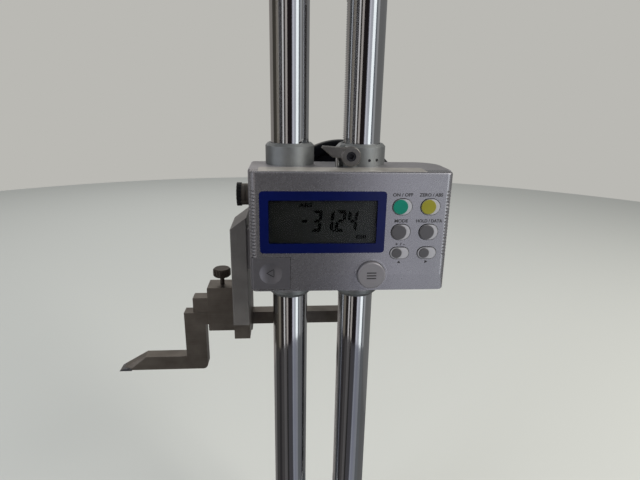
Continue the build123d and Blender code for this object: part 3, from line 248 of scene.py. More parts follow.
@dataclass(frozen=True)
class TurnedFinish(Finish):
    """A lathe-turned surface: soft rings every ring_mm along one axis of the object."""

    ring_mm: float = 3.1416
    ring_axis: Axis = Axis.X

    def fine(self, tree: bpy.types.NodeTree) -> bpy.types.NodeSocket:
        """Return the tool marks as a height from 0 to 1."""
        where = add_node(tree, "ShaderNodeTexCoord")
        rings = add_node(tree, "ShaderNodeTexWave",
                         {"wave_type": "BANDS", "bands_direction": self.ring_axis.value},
                         {"Vector": where.outputs["Object"], "Scale": per_mm(self.ring_mm) * WAVE_UNIT,
                          "Distortion": 0.6, "Detail": 2.0, "Detail Scale": 3.0})
        return rings.outputs["Fac"]


@dataclass(frozen=True)
class ShellFinish(Finish):
    """Lacquer on the outside of the shell, and bare moulding in painted shade inside its key openings.

    The painted shade, near black like the gap round each key, starts opening_shade_depth behind the
    face, between the left and right bounds and between the low and high heights.
    """

    bare_and_shade_tone: str = "111113"
    face: float = -32.8
    opening_shade_depth: float = 0.2
    opening_shade_left: float = -40.0
    opening_shade_right: float = 63.0
    opening_shade_low: float = 285.0
    opening_shade_high: float = 339.0

    def colour(self, tree: bpy.types.NodeTree, fine: bpy.types.NodeSocket) -> bpy.types.NodeSocket:
        """Return the lacquer's colour, and painted shade on the bare moulding behind the face."""
        lacquer = super().colour(tree, fine)
        where = add_node(tree, "ShaderNodeTexCoord")
        parts = add_node(tree, "ShaderNodeSeparateXYZ", {}, {0: where.outputs["Object"]})
        share = add_node(tree, "ShaderNodeMath", {"operation": "GREATER_THAN"},
                         {0: parts.outputs["Y"], 1: metres(self.face + self.opening_shade_depth)})
        for axis, kind, bound in (("X", "GREATER_THAN", self.opening_shade_left), ("X", "LESS_THAN", self.opening_shade_right),
                                  ("Z", "GREATER_THAN", self.opening_shade_low), ("Z", "LESS_THAN", self.opening_shade_high)):
            side = add_node(tree, "ShaderNodeMath", {"operation": kind},
                            {0: parts.outputs[axis], 1: metres(bound)})
            share = add_node(tree, "ShaderNodeMath", {"operation": "MULTIPLY"},
                             {0: share.outputs[0], 1: side.outputs[0]})
        # Painted shade: the walls of the key openings are drawn near black, like the gap round each key.
        mixed = add_node(tree, "ShaderNodeMix", {"data_type": "RGBA"},
                         {MIX_FACTOR: share.outputs[0], MIX_A: lacquer, MIX_B: linear(self.bare_and_shade_tone)})
        return mixed.outputs[MIX_RESULT]


@dataclass(frozen=True)
class CrystalFinish(Finish):
    """Liquid-crystal panel with painted light: darker at its left end and brighter towards its right."""

    # Painted shade at the panel's left end; the panel's own tone shows at its right end.
    painted_shade_tone: str = "2A2B29"
    left: float = -30.0
    right: float = 32.0

    def colour(self, tree: bpy.types.NodeTree, fine: bpy.types.NodeSocket) -> bpy.types.NodeSocket:
        """Return the panel's colour, darkened by painted shade at its left end."""
        lit = super().colour(tree, fine)
        where = add_node(tree, "ShaderNodeTexCoord")
        parts = add_node(tree, "ShaderNodeSeparateXYZ", {}, {0: where.outputs["Object"]})
        # Painted light: the colour fades from the painted shade at left to the lit tone at right.
        along = add_node(tree, "ShaderNodeMapRange", {},
                         {"Value": parts.outputs["X"], "From Min": metres(self.left),
                          "From Max": metres(self.right)})
        mixed = add_node(tree, "ShaderNodeMix", {"data_type": "RGBA"},
                         {MIX_FACTOR: along.outputs[0], MIX_A: linear(self.painted_shade_tone), MIX_B: lit})
        return mixed.outputs[MIX_RESULT]


@dataclass(frozen=True)
class KeyFinish(Finish):
    """A silver key with painted shade on its sides, whose round button, let into its face, has its own
    colour.

    The button's colour reaches margin past its radius and button_depth behind the key's face. A
    surface counts as the key's side where its normal leans off the front by more than the cosine
    side_lean.
    """

    side_shade_tone: str = "141416"
    side_lean: float = 0.9
    button_tone: str = ""
    centre: Point = (0.0, 0.0)
    radius: float = 4.0
    margin: float = 0.03
    face: float = -33.3
    button_depth: float = 0.45

    def paint_side_shade(self, tree: bpy.types.NodeTree, silver: bpy.types.NodeSocket) -> bpy.types.NodeSocket:
        """Return the key's colour with its sides drawn near black as painted shade."""
        turned = add_node(tree, "ShaderNodeNewGeometry")
        parts = add_node(tree, "ShaderNodeSeparateXYZ", {}, {0: turned.outputs["True Normal"]})
        side = add_node(tree, "ShaderNodeMath", {"operation": "GREATER_THAN"},
                        {0: parts.outputs["Y"], 1: -self.side_lean})
        # Painted shade: the key's sides are drawn near black, like the gap round the key.
        mixed = add_node(tree, "ShaderNodeMix", {"data_type": "RGBA"},
                         {MIX_FACTOR: side.outputs[0], MIX_A: silver, MIX_B: linear(self.side_shade_tone)})
        return mixed.outputs[MIX_RESULT]

    def colour(self, tree: bpy.types.NodeTree, fine: bpy.types.NodeSocket) -> bpy.types.NodeSocket:
        """Return the key's colour with the button's colour inside its circle."""
        silver = self.paint_side_shade(tree, super().colour(tree, fine))
        if not self.button_tone:
            return silver
        where = add_node(tree, "ShaderNodeTexCoord")
        parts = add_node(tree, "ShaderNodeSeparateXYZ", {}, {0: where.outputs["Object"]})
        flat = add_node(tree, "ShaderNodeCombineXYZ", {},
                        {"X": parts.outputs["X"], "Z": parts.outputs["Z"]})
        middle = (metres(self.centre[0]), 0.0, metres(self.centre[1]))
        reach = add_node(tree, "ShaderNodeVectorMath", {"operation": "DISTANCE"},
                         {0: flat.outputs[0], 1: middle})
        inside = add_node(tree, "ShaderNodeMath", {"operation": "LESS_THAN"},
                          {0: reach.outputs["Value"], 1: metres(self.radius + self.margin)})
        ahead = add_node(tree, "ShaderNodeMath", {"operation": "LESS_THAN"},
                         {0: parts.outputs["Y"], 1: metres(self.face + self.button_depth)})
        both = add_node(tree, "ShaderNodeMath", {"operation": "MULTIPLY"},
                        {0: inside.outputs[0], 1: ahead.outputs[0]})
        mixed = add_node(tree, "ShaderNodeMix", {"data_type": "RGBA"},
                         {MIX_FACTOR: both.outputs[0], MIX_A: silver, MIX_B: linear(self.button_tone)})
        return mixed.outputs[MIX_RESULT]


@dataclass(frozen=True)
class CircuitFinish(Finish):
    """Green circuit board with pale tracks, track_mm apart, under the solder mask."""

    track_mm: float = 1.3
    row_height: float = 0.25

    def fine(self, tree: bpy.types.NodeTree) -> bpy.types.NodeSocket:
        """Return the tracks as a height from 0 to 1."""
        where = add_node(tree, "ShaderNodeTexCoord")
        tracks = add_node(tree, "ShaderNodeTexBrick", {"offset": 0.35},
                          {"Vector": where.outputs["Object"], "Row Height": self.row_height,
                           "Scale": per_mm(self.track_mm) * self.row_height, "Mortar Size": 0.02})
        return tracks.outputs["Fac"]


@dataclass(frozen=True)
class GlassFinish(Finish):
    """Clear flat glass or plastic of one tone, faintly smeared."""

    shade: str = ""

    def shader(self, tree: bpy.types.NodeTree) -> bpy.types.Node:
        """Build a clear shader whose gloss varies a little over the pane."""
        where = add_node(tree, "ShaderNodeTexCoord")
        smear = add_node(tree, "ShaderNodeTexNoise", {},
                         {"Vector": where.outputs["Object"], "Scale": per_mm(self.patch_mm), "Detail": 5.0})
        gloss = add_node(tree, "ShaderNodeMapRange", {},
                         {"Value": smear.outputs["Fac"], "To Max": self.roughness})
        return add_node(tree, "ShaderNodeBsdfPrincipled", {}, {
            "Base Color": linear(self.tone), "Roughness": gloss.outputs[0], "IOR": self.ior,
            "Transmission Weight": 1.0})


# Silver lacquer over die-cast alloy: soft sheen with a faint orange-peel ripple and rubbed edges.
LACQUERED_CASTING = Finish(
    "lacquered_die_casting", "8F8D90", "7E7C7F", roughness=0.38, metallic=0.55, grain_mm=1.4,
    grain_depth_mm=0.02, patch_mm=30, edge_tone="B9B8BA")
# Silver-lacquered ABS: the same silver, smoother; its moulded grain is drawn at 0.9 mm to show at all.
# Its edges turn near white at full share: part rubbed wear, part painted highlight.
# Its key openings are drawn near black inside, as painted shade of the gap round each key.
LACQUERED_SHELL = ShellFinish(
    "lacquered_abs_shell", "9E9DA2", "8F8E93", roughness=0.26, metallic=0.86, grain_mm=0.9,
    grain_depth_mm=0.008, patch_mm=34, edge_tone="E6E5E8", edge_share=1.0)
# The same lacquer on the battery cover, without openings, drawn a tone darker as painted shade.
LACQUERED_COVER = Finish(
    "lacquered_abs_cover", "76757A", "6A696E", roughness=0.32, metallic=0.75, grain_mm=0.9,
    grain_depth_mm=0.008, patch_mm=34, edge_tone="D6D5D8", edge_share=0.6)
# Silver-lacquered key caps: drawn paler than the shell, as a painted highlight.
LACQUERED_KEY = KeyFinish(
    "lacquered_abs_key", "B4B3B6", "A3A2A5", roughness=0.34, metallic=0.6, grain_mm=0.9,
    grain_depth_mm=0.012, patch_mm=34, edge_tone="E4E3E6", edge_share=0.6)
# Hard-chromed and lapped column: mirror bright, with a faint oil film that dulls it in long streaks.
HARD_CHROME = Finish(
    "hard_chrome_plating", "C9CACC", "B7B8BB", roughness=0.07, unevenness=0.03, metallic=1.0,
    grain=Grain.ALONG_Z, grain_mm=2.5, grain_depth_mm=0.001, patch_mm=40)
# Glass-bead blasted steel: an even grey sparkle; its pits of about 0.1 mm are drawn at 0.55 mm to show.
BLASTED_STEEL = Finish(
    "bead_blasted_steel", "868989", "707273", roughness=0.46, unevenness=0.12, metallic=0.85,
    grain_mm=0.55, grain_depth_mm=0.05, patch_mm=9, edge_tone="B4B5B5")
# Investment-cast lever: satin grey with soft hollows, smoother and darker than the blasted rings.
CAST_LEVER = Finish(
    "satin_cast_steel", "7C7A77", "5E5C5A", roughness=0.32, unevenness=0.08, metallic=0.9,
    grain_mm=0.8, grain_depth_mm=0.03, patch_mm=5, edge_tone="B8B6B2", edge_share=0.6)
# Dark hardened tool steel, ground along its length: fine streaks and a warm grey tone.
GROUND_TOOL_STEEL = Finish(
    "ground_tool_steel", "7C766F", "565049", roughness=0.36, unevenness=0.12, metallic=0.84,
    grain=Grain.ALONG_X, grain_mm=0.5, grain_depth_mm=0.01, patch_mm=12, edge_tone="B4AEA6")
# Sintered carbide, diamond ground: cooler and brighter than the steel round it.
CARBIDE = Finish(
    "ground_carbide", "84868A", "6C6E72", roughness=0.28, metallic=1.0, grain=Grain.ALONG_Y,
    grain_mm=0.4, grain_depth_mm=0.004)
# Steel turned on a lathe: bright, with the soft rings of its feed drawn about 3 mm apart.
TURNED_STEEL = TurnedFinish(
    "turned_bright_steel", "A9A8A6", "8F8E8B", roughness=0.26, metallic=1.0, grain_depth_mm=0.008)
# The clamp knob's stem: the same turning in a darker tone.
DARKER_STEM = TurnedFinish(
    "darker_turned_steel", "6F6B66", "56524D", roughness=0.32, metallic=1.0, grain_depth_mm=0.008)
# The same turning round the shafts that lie across the gauge.
TURNED_SHAFT = TurnedFinish(
    "turned_shaft_steel", "A5A4A2", "8B8A87", roughness=0.28, metallic=1.0, grain_depth_mm=0.008,
    ring_axis=Axis.Y)
# Hobbed gear steel with a film of oil: darker, uneven gloss.
GEAR_STEEL = Finish(
    "hobbed_gear_steel", "77746E", "5C5954", roughness=0.34, metallic=1.0, grain=Grain.ALONG_Y,
    grain_mm=0.4, grain_depth_mm=0.006)
# Black-oxide steel: near black with a dull oily gloss.
BLACK_OXIDE = Finish(
    "black_oxide_steel", "35353A", "232326", roughness=0.38, metallic=0.8, grain_mm=0.5,
    grain_depth_mm=0.01, edge_tone="6A6A6C")
# Thumbscrew of steel browned by heat and handling: warmer and lighter than the black screws.
BROWNED_STEEL = Finish(
    "browned_steel", "57504A", "3B3530", roughness=0.36, metallic=0.85, grain_mm=0.5,
    grain_depth_mm=0.01, patch_mm=4, edge_tone="9A9288")
# Sintered bronze bush: warm, porous, satin; its pores are drawn at 0.5 mm.
SINTERED_BRONZE = Finish(
    "sintered_bronze", "A97B45", "86602F", roughness=0.45, metallic=0.95, grain_mm=0.5,
    grain_depth_mm=0.02)
# Turned brass: yellow and bright, faintly tarnished in patches.
BRASS = Finish("turned_brass", "C0994C", "9A7A38", roughness=0.3, metallic=1.0, grain_mm=0.5, patch_mm=3)
# Navy acrylic frame: a deep, saturated blue under an even gloss, nearly free of grain.
NAVY_ACRYLIC = Finish(
    "navy_acrylic", "040E44", "030A32", roughness=0.22, unevenness=0.03, ior=1.32, grain_mm=2.5,
    grain_depth_mm=0.002, patch_mm=40)
# Liquid-crystal panel: dark olive grey, matt, with the faint mottle of its reflector. Its polariser is
# bonded to the cell, so it mirrors next to nothing, which the low IOR stands for.
# Painted light draws the panel darker at its left end than at its right.
CRYSTAL_PANEL = CrystalFinish(
    "liquid_crystal_panel", "4A4B4B", "3C3D3D", roughness=0.6, ior=1.12, grain_mm=0.7,
    grain_depth_mm=0.003, patch_mm=45)
# Window glass with an anti-glare coating: clear, so it mirrors only a soft and weak glow.
COATED_GLASS = GlassFinish("coated_window_glass", "F4F6F6", roughness=0.22, ior=1.16, patch_mm=12)
# Etched encoder disc: slightly frosted clear plastic.
ETCHED_DISC = GlassFinish("etched_disc", "C9D2D2", roughness=0.3, patch_mm=3)
# Phenolic black knob: dense moulded black with a soft painted shine on its rims.
PHENOLIC_BLACK = Finish(
    "phenolic_black", "0E0E10", "08080A", roughness=0.36, ior=1.4, grain_mm=0.8, grain_depth_mm=0.012,
    edge_tone="3A3A3E", edge_share=0.3)
# Polished phenolic hand wheel: black with a cool sheen, painted in blue grey along its edges, and hairline
# handling marks.
POLISHED_PHENOLIC = Finish(
    "polished_phenolic", "07080E", "040508", roughness=0.3, unevenness=0.07, ior=1.24, grain_mm=2.2,
    grain_depth_mm=0.006, edge_tone="2A2C38", edge_share=0.25)
# Machined arm with a grey baked lacquer: dull, slightly pebbled.
BAKED_GREY = Finish(
    "baked_grey_lacquer", "6E6B69", "575452", roughness=0.46, metallic=0.35, grain_mm=0.8,
    grain_depth_mm=0.02, patch_mm=14, edge_tone="8E8C8A")
# Hammered enamel on cast iron: grey with shallow dimples about 2 mm apart.
HAMMERED_ENAMEL = Finish(
    "hammered_enamel", "60666B", "4C5256", roughness=0.34, metallic=0.2, grain_mm=2.2,
    grain_depth_mm=0.12, patch_mm=26, coat=0.3, coat_roughness=0.2, edge_tone="83888C", edge_share=0.25)
# Moulded ABS of the small grey cap: satin grey, fine grain.
GREY_ABS = Finish(
    "moulded_grey_abs", "7C7A7E", "6E6C70", roughness=0.42, metallic=0.35, grain_mm=0.7,
    grain_depth_mm=0.015, edge_tone="ADABAF")
# Moulded green button: satin ABS in a strong, even colour.
GREEN_BUTTON = Finish(
    "moulded_green_abs", "007360", "006353", roughness=0.4, ior=1.32, grain_mm=0.7, patch_mm=6)
# Moulded olive-yellow button: the same satin ABS.
YELLOW_BUTTON = replace(GREEN_BUTTON, name="moulded_yellow_abs", tone="837F25", shade="726E1F")
# Black moulding of the hidden holders: matt.
BLACK_ABS = Finish("moulded_black_abs", "1C1C1D", "131314", roughness=0.5, grain_mm=0.7)
# Nickel-plated cell can: bright and smooth, with a slight yellow cast.
NICKEL_CAN = Finish(
    "nickel_plated_can", "B9B8B4", "A6A5A1", roughness=0.22, metallic=1.0, grain_mm=0.8,
    grain_depth_mm=0.004)
# Grey silicone key mat: matt, slightly greasy.
SILICONE = Finish("grey_silicone", "262628", "1C1C1E", roughness=0.7, grain_mm=0.8, grain_depth_mm=0.02)
# Solder-masked board: green gloss over paler tracks.
SOLDER_MASK = CircuitFinish("solder_masked_board", "1E6B3C", "123F24", roughness=0.32, coat=0.3)
# Screen-printed black ink: matt and slightly uneven at its edges.
BLACK_INK = Finish(
    "screen_printed_ink", "101012", "1B1B1D", roughness=0.6, grain_mm=0.5, grain_depth_mm=0.002, patch_mm=2)
# Switched-on crystal segments: absorb nearly all light, matt.
CRYSTAL_SEGMENT = Finish(
    "crystal_segment", "050506", "080809", roughness=0.6, ior=1.05, grain_mm=0.5, grain_depth_mm=0.001)
# Bare anodised strip: pale, brushed along its length, with dulled patches from handling.
BARE_STRIP = Finish(
    "brushed_anodised_strip", "B6B2AC", "8F8B86", roughness=0.4, metallic=0.5, grain=Grain.ALONG_X,
    grain_mm=0.6, grain_depth_mm=0.006, patch_mm=8, edge_tone="D6D4D0")


# ------------------------------------------------------------------ meshes and pieces
def add_object(name: str, data: bpy.types.ID) -> bpy.types.Object:
    """Add a mesh, curve, lamp or camera to the scene as an object."""
    made = bpy.data.objects.new(name, data)
    bpy.context.scene.collection.objects.link(made)
    return made


def to_mesh(name: str, built: bmesh.types.BMesh) -> bpy.types.Mesh:
    """Turn an edited mesh into a named one, and free it."""
    mesh = bpy.data.meshes.new(name)
    built.to_mesh(mesh)
    built.free()
    return mesh


def join_rings(built: bmesh.types.BMesh, near: Sequence[bmesh.types.BMVert],
               far: Sequence[bmesh.types.BMVert]) -> None:
    """Join two closed rings, of as many corners each, by a band of faces."""
    for index in range(len(near)):
        after = (index + 1) % len(near)
        built.faces.new((near[index], near[after], far[after], far[index]))


def dress(nodes: dict[str, bpy.types.Object], finishes: dict[str, Finish]) -> None:
    """Give each named node of the frame its finish.

    Args:
        nodes: the frame's objects by name.
        finishes: finish by node name.
    """
    for name, finish in finishes.items():
        node = nodes[name]
        if not node.material_slots:
            node.data.materials.append(finish.material())
        for slot in node.material_slots:
            slot.material = finish.material()
        LOG.info("dressed %s in %s", name, finish.name)


def new_piece(name: str, mesh: bpy.types.Mesh, finish: Finish, body: str) -> None:
    """Add a mesh as a piece that rides on a body.

    Args:
        name: the piece's name.
        mesh: its mesh, in metres, in the frame's coordinates.
        finish: its finish.
        body: the body it moves with.
    """
    piece = add_object(name, mesh)
    mesh.materials.clear()
    mesh.materials.append(finish.material())
    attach(piece, body)
    LOG.info("made %s with %d faces", name, len(mesh.polygons))


def rectangle(x: float, z: float, width: float, height: float) -> list[Point]:
    """Return a rectangle's outline about its middle."""
    return [(x - width / 2, z - height / 2), (x + width / 2, z - height / 2),
            (x + width / 2, z + height / 2), (x - width / 2, z + height / 2)]


def plates(name: str, outlines: Iterable[Sequence[Point]], low: float, high: float) -> bpy.types.Mesh:
    """Make thin plates parallel to the display.

    Args:
        name: mesh name.
        outlines: closed outlines in X and Z.
        low: Y of the front faces.
        high: Y of the rear faces.

    Returns:
        The mesh in metres.
    """
    built = bmesh.new()
    for outline in outlines:
        front = [built.verts.new((metres(x), metres(low), metres(z))) for x, z in outline]
        back = [built.verts.new((metres(x), metres(high), metres(z))) for x, z in outline]
        built.faces.new(front)
        built.faces.new(list(reversed(back)))
        join_rings(built, back, front)
    bmesh.ops.recalc_face_normals(built, faces=built.faces)
    return to_mesh(name, built)


# ------------------------------------------------------------------ sub-assemblies
@dataclass
class Stand:
    """Base, columns and the head that ties them."""

    finishes: dict[str, Finish] = field(default_factory=lambda: {
        "base": HAMMERED_ENAMEL, "left_column": HARD_CHROME, "rack_column": HARD_CHROME,
        "column_head": LACQUERED_CASTING, "column_screws": BLACK_OXIDE})

    def build(self, nodes: dict[str, bpy.types.Object]) -> None:
        """Dress the stand's nodes."""
        dress(nodes, self.finishes)


@dataclass
class SliderBody:
    """Die-cast slider with its collars, guides, arm and gear housing."""

    strip_left: float = -38.5
    strip_right: float = 53.0
    strip_front: float = -31.2
    strip_back: float = -17.0
    strip_corner: float = 1.2
    corner_steps: int = 4
    strip_thickness: float = 0.12
    finishes: dict[str, Finish] = field(default_factory=lambda: {
        "slider_body": LACQUERED_CASTING, "gear_cover": LACQUERED_CASTING, "left_collar": BLASTED_STEEL,
        "clamp_collar": BLASTED_STEEL, "column_wipers": BLASTED_STEEL, "collar_set_screws": BLACK_OXIDE,
        "clamp_shoes": BRASS, "stop_pin": TURNED_STEEL, "guide_bushes": SINTERED_BRONZE,
        "pinion_bushes": SINTERED_BRONZE, "wheel_bushes": SINTERED_BRONZE, "gear_cover_screws": BLACK_OXIDE,
        "sensor_board": SOLDER_MASK, "measuring_arm": BAKED_GREY, "arm_screws": BLACK_OXIDE,
        "measuring_jaw": GROUND_TOOL_STEEL, "clamp_lever": CAST_LEVER, "clamp_screw": BLACK_OXIDE,
        "side_knob": PHENOLIC_BLACK, "side_knob_stem": DARKER_STEM})

    def strip(self, deck: float) -> bpy.types.Mesh:
        """Make the bare strip, with bevelled ends, that lies on the deck in front of the collars.

        Args:
            deck: height of the deck.

        Returns:
            The strip's mesh in metres.
        """
        corners = ((self.strip_right, self.strip_back, 0), (self.strip_left, self.strip_back, 90),
                   (self.strip_left, self.strip_front, 180), (self.strip_right, self.strip_front, 270))
        outline: list[Point] = []
        for x, y, start in corners:
            inner_x = x - math.copysign(self.strip_corner, x)
            inner_y = y + (self.strip_corner if y == self.strip_front else -self.strip_corner)
            for step in range(self.corner_steps + 1):
                angle = math.radians(start + 90 * step / self.corner_steps)
                outline.append((inner_x + self.strip_corner * math.cos(angle),
                                inner_y + self.strip_corner * math.sin(angle)))
        bevel = self.strip_thickness
        built = bmesh.new()
        low = [built.verts.new((metres(x), metres(y), metres(deck))) for x, y in outline]
        top = [built.verts.new((metres(x - math.copysign(bevel, x)), metres(y), metres(deck + bevel)))
               for x, y in outline]
        built.faces.new(top)
        built.faces.new(list(reversed(low)))
        join_rings(built, low, top)
        return to_mesh("bare_strip", built)

    def build(self, nodes: dict[str, bpy.types.Object], deck: float) -> None:
        """Dress the slider and lay the bare strip on its deck.

        Args:
            nodes: the frame's objects by name.
            deck: height of the deck.
        """
        dress(nodes, self.finishes)
        new_piece("bare_strip", self.strip(deck), BARE_STRIP, "slider")


@dataclass
class DriveTrain:
    """Hand wheel, gears, shafts and the encoder disc."""

    finishes: dict[str, Finish] = field(default_factory=lambda: {
        "hand_wheel": POLISHED_PHENOLIC, "wheel_cap": POLISHED_PHENOLIC, "finger_grip": PHENOLIC_BLACK,
        "grip_pin": TURNED_SHAFT, "wheel_shaft": TURNED_SHAFT, "pinion_shaft": TURNED_SHAFT,
        "rack_pinion": GEAR_STEEL, "driven_gear": GEAR_STEEL, "drive_gear": GEAR_STEEL,
        "encoder_disc": ETCHED_DISC})

    def build(self, nodes: dict[str, bpy.types.Object]) -> None:
        """Dress the drive's nodes."""
        dress(nodes, self.finishes)


@dataclass
class ScriberGroup:
    """Scriber with its carbide tip, clamp box and thumbscrew."""

    finishes: dict[str, Finish] = field(default_factory=lambda: {
        "scriber": GROUND_TOOL_STEEL, "carbide_tip": CARBIDE, "clamp_box": GROUND_TOOL_STEEL,
        "pressure_pad": BRASS, "thumbscrew": BROWNED_STEEL})

    def build(self, nodes: dict[str, bpy.types.Object]) -> None:
        """Dress the scriber's nodes."""
        dress(nodes, self.finishes)


class Segment(Enum):
    """The seven segments of a digit, clockwise from the top, then the middle."""

    TOP = "top"
    TOP_RIGHT = "top right"
    LOW_RIGHT = "low right"
    BOTTOM = "bottom"
    LOW_LEFT = "low left"
    TOP_LEFT = "top left"
    MIDDLE = "middle"


DIGITS: dict[str, tuple[Segment, ...]] = {
    "-": (Segment.MIDDLE,),
    "1": (Segment.TOP_RIGHT, Segment.LOW_RIGHT),
    "2": (Segment.TOP, Segment.TOP_RIGHT, Segment.MIDDLE, Segment.LOW_LEFT, Segment.BOTTOM),
    "3": (Segment.TOP, Segment.TOP_RIGHT, Segment.MIDDLE, Segment.LOW_RIGHT, Segment.BOTTOM),
    "4": (Segment.TOP_LEFT, Segment.TOP_RIGHT, Segment.MIDDLE, Segment.LOW_RIGHT),
}


@dataclass(frozen=True)
class Legend:
    """Raised lettering in a box that faces the front.

    The box runs from left to right in X and from the drop low up to the drop high. The strokes
    are thickened by weight, a share of the letters' height.
    """

    name: str
    words: str
    left: float
    right: float
    low: float
    high: float
    weight: float = 0.03
    curve_steps: int = 3
    curve_extrude: float = 0.01

    def mesh(self, deck: float, face: float, depth: float) -> bpy.types.Mesh:
        """Make the letters.

        Args:
            deck: height of the deck.
            face: Y of the surface that they are printed on.
            depth: how far they stand proud of it.

        Returns:
            Their mesh in metres.
        """
        curve = bpy.data.curves.new(self.name, "FONT")
        curve.body = self.words
        curve.resolution_u = self.curve_steps
        curve.extrude = self.curve_extrude
        curve.offset = self.weight
        holder = add_object(self.name + "_curve", curve)
        bpy.context.view_layer.update()
        mesh = bpy.data.meshes.new_from_object(holder)
        bpy.data.objects.remove(holder)
        mesh.name = self.name
        lows, highs = ([pick(v.co[axis] for v in mesh.vertices) for axis in range(3)] for pick in (min, max))
        for vertex in mesh.vertices:
            across, up, proud = ((c - a) / (b - a) for c, a, b in zip(vertex.co, lows, highs))
            vertex.co = (metres(self.left + across * (self.right - self.left)), metres(face - proud * depth),
                         metres(deck - self.low + up * (self.low - self.high)))
        return mesh


@dataclass
class Readout:
    """Crystal segments and small legends on the liquid-crystal panel.

    Each cell holds one character, cell_pitch from the next, and leans right by slant times its
    height. The segments have a gap at each joint. The point is given by its X and drop.
    """

    reading: str = "-3124"
    first_cell: float = -16.7
    cell_pitch: float = 6.6
    digit_width: float = 5.45
    digit_top: float = 21.2
    digit_height: float = 12.2
    stroke: float = 1.75
    gap: float = 0.16
    slant: float = 0.10
    point: Point = (2.75, 32.9)
    point_size: float = 1.0
    thickness: float = 0.03
    lift: float = 0.005
    legends: tuple[Legend, ...] = (
        Legend("legend_abs", "ABS", -16.6, -9.2, 19.5, 17.1, weight=0.045),
        Legend("legend_mm", "mm", 15.1, 21.1, 37.4, 35.4, weight=0.045))

    def bar(self, segment: Segment) -> list[Point]:
        """Return a segment's outline in the digit's own cell, Z downwards from its top."""
        width, stroke, gap = self.digit_width, self.stroke, self.gap
        half, mid = self.digit_height / 2, self.stroke / 2
        if segment is Segment.MIDDLE:
            return [(mid + gap, half), (stroke + gap, half - mid), (width - stroke - gap, half - mid),
                    (width - mid - gap, half), (width - stroke - gap, half + mid), (stroke + gap, half + mid)]
        if segment in (Segment.TOP, Segment.BOTTOM):
            outline = [(gap, 0.0), (width - gap, 0.0), (width - stroke - gap, stroke), (stroke + gap, stroke)]
        else:
            outline = [(0.0, gap), (stroke, stroke + gap), (stroke, half - mid - gap), (mid, half - gap),
                       (0.0, half - mid - gap)]
        if segment in (Segment.TOP_RIGHT, Segment.LOW_RIGHT):
            outline = [(width - x, z) for x, z in outline]
        if segment in (Segment.BOTTOM, Segment.LOW_LEFT, Segment.LOW_RIGHT):
            outline = [(x, self.digit_height - z) for x, z in outline]
        return outline

    def outlines(self, deck: float) -> list[list[Point]]:
        """Return the outline in X and Z of every lit segment and of the point."""
        made: list[list[Point]] = []
        for cell, figure in enumerate(self.reading):
            left = self.first_cell + cell * self.cell_pitch
            for segment in DIGITS[figure]:
                made.append([(left + x + (self.digit_height - z) * self.slant, deck - self.digit_top - z)
                             for x, z in self.bar(segment)])
        x, drop = self.point
        made.append(rectangle(x, deck - drop, self.point_size, self.point_size))
        return made

    def build(self, deck: float, face: float) -> None:
        """Make the segments and the two legends.

        Args:
            deck: height of the deck.
            face: Y of the panel's front face.
        """
        mesh = plates("reading", self.outlines(deck), face - self.thickness, face - self.lift)
        new_piece("reading", mesh, CRYSTAL_SEGMENT, "slider")
        for legend in self.legends:
            mesh = legend.mesh(deck, face, self.thickness)
            new_piece(legend.name, mesh, CRYSTAL_SEGMENT, "slider")


@dataclass(frozen=True)
class GreyButton:
    """Round grey button of a silver key: the key's node, the button's X, drop and radius."""

    key: str
    x: float
    drop: float
    radius: float


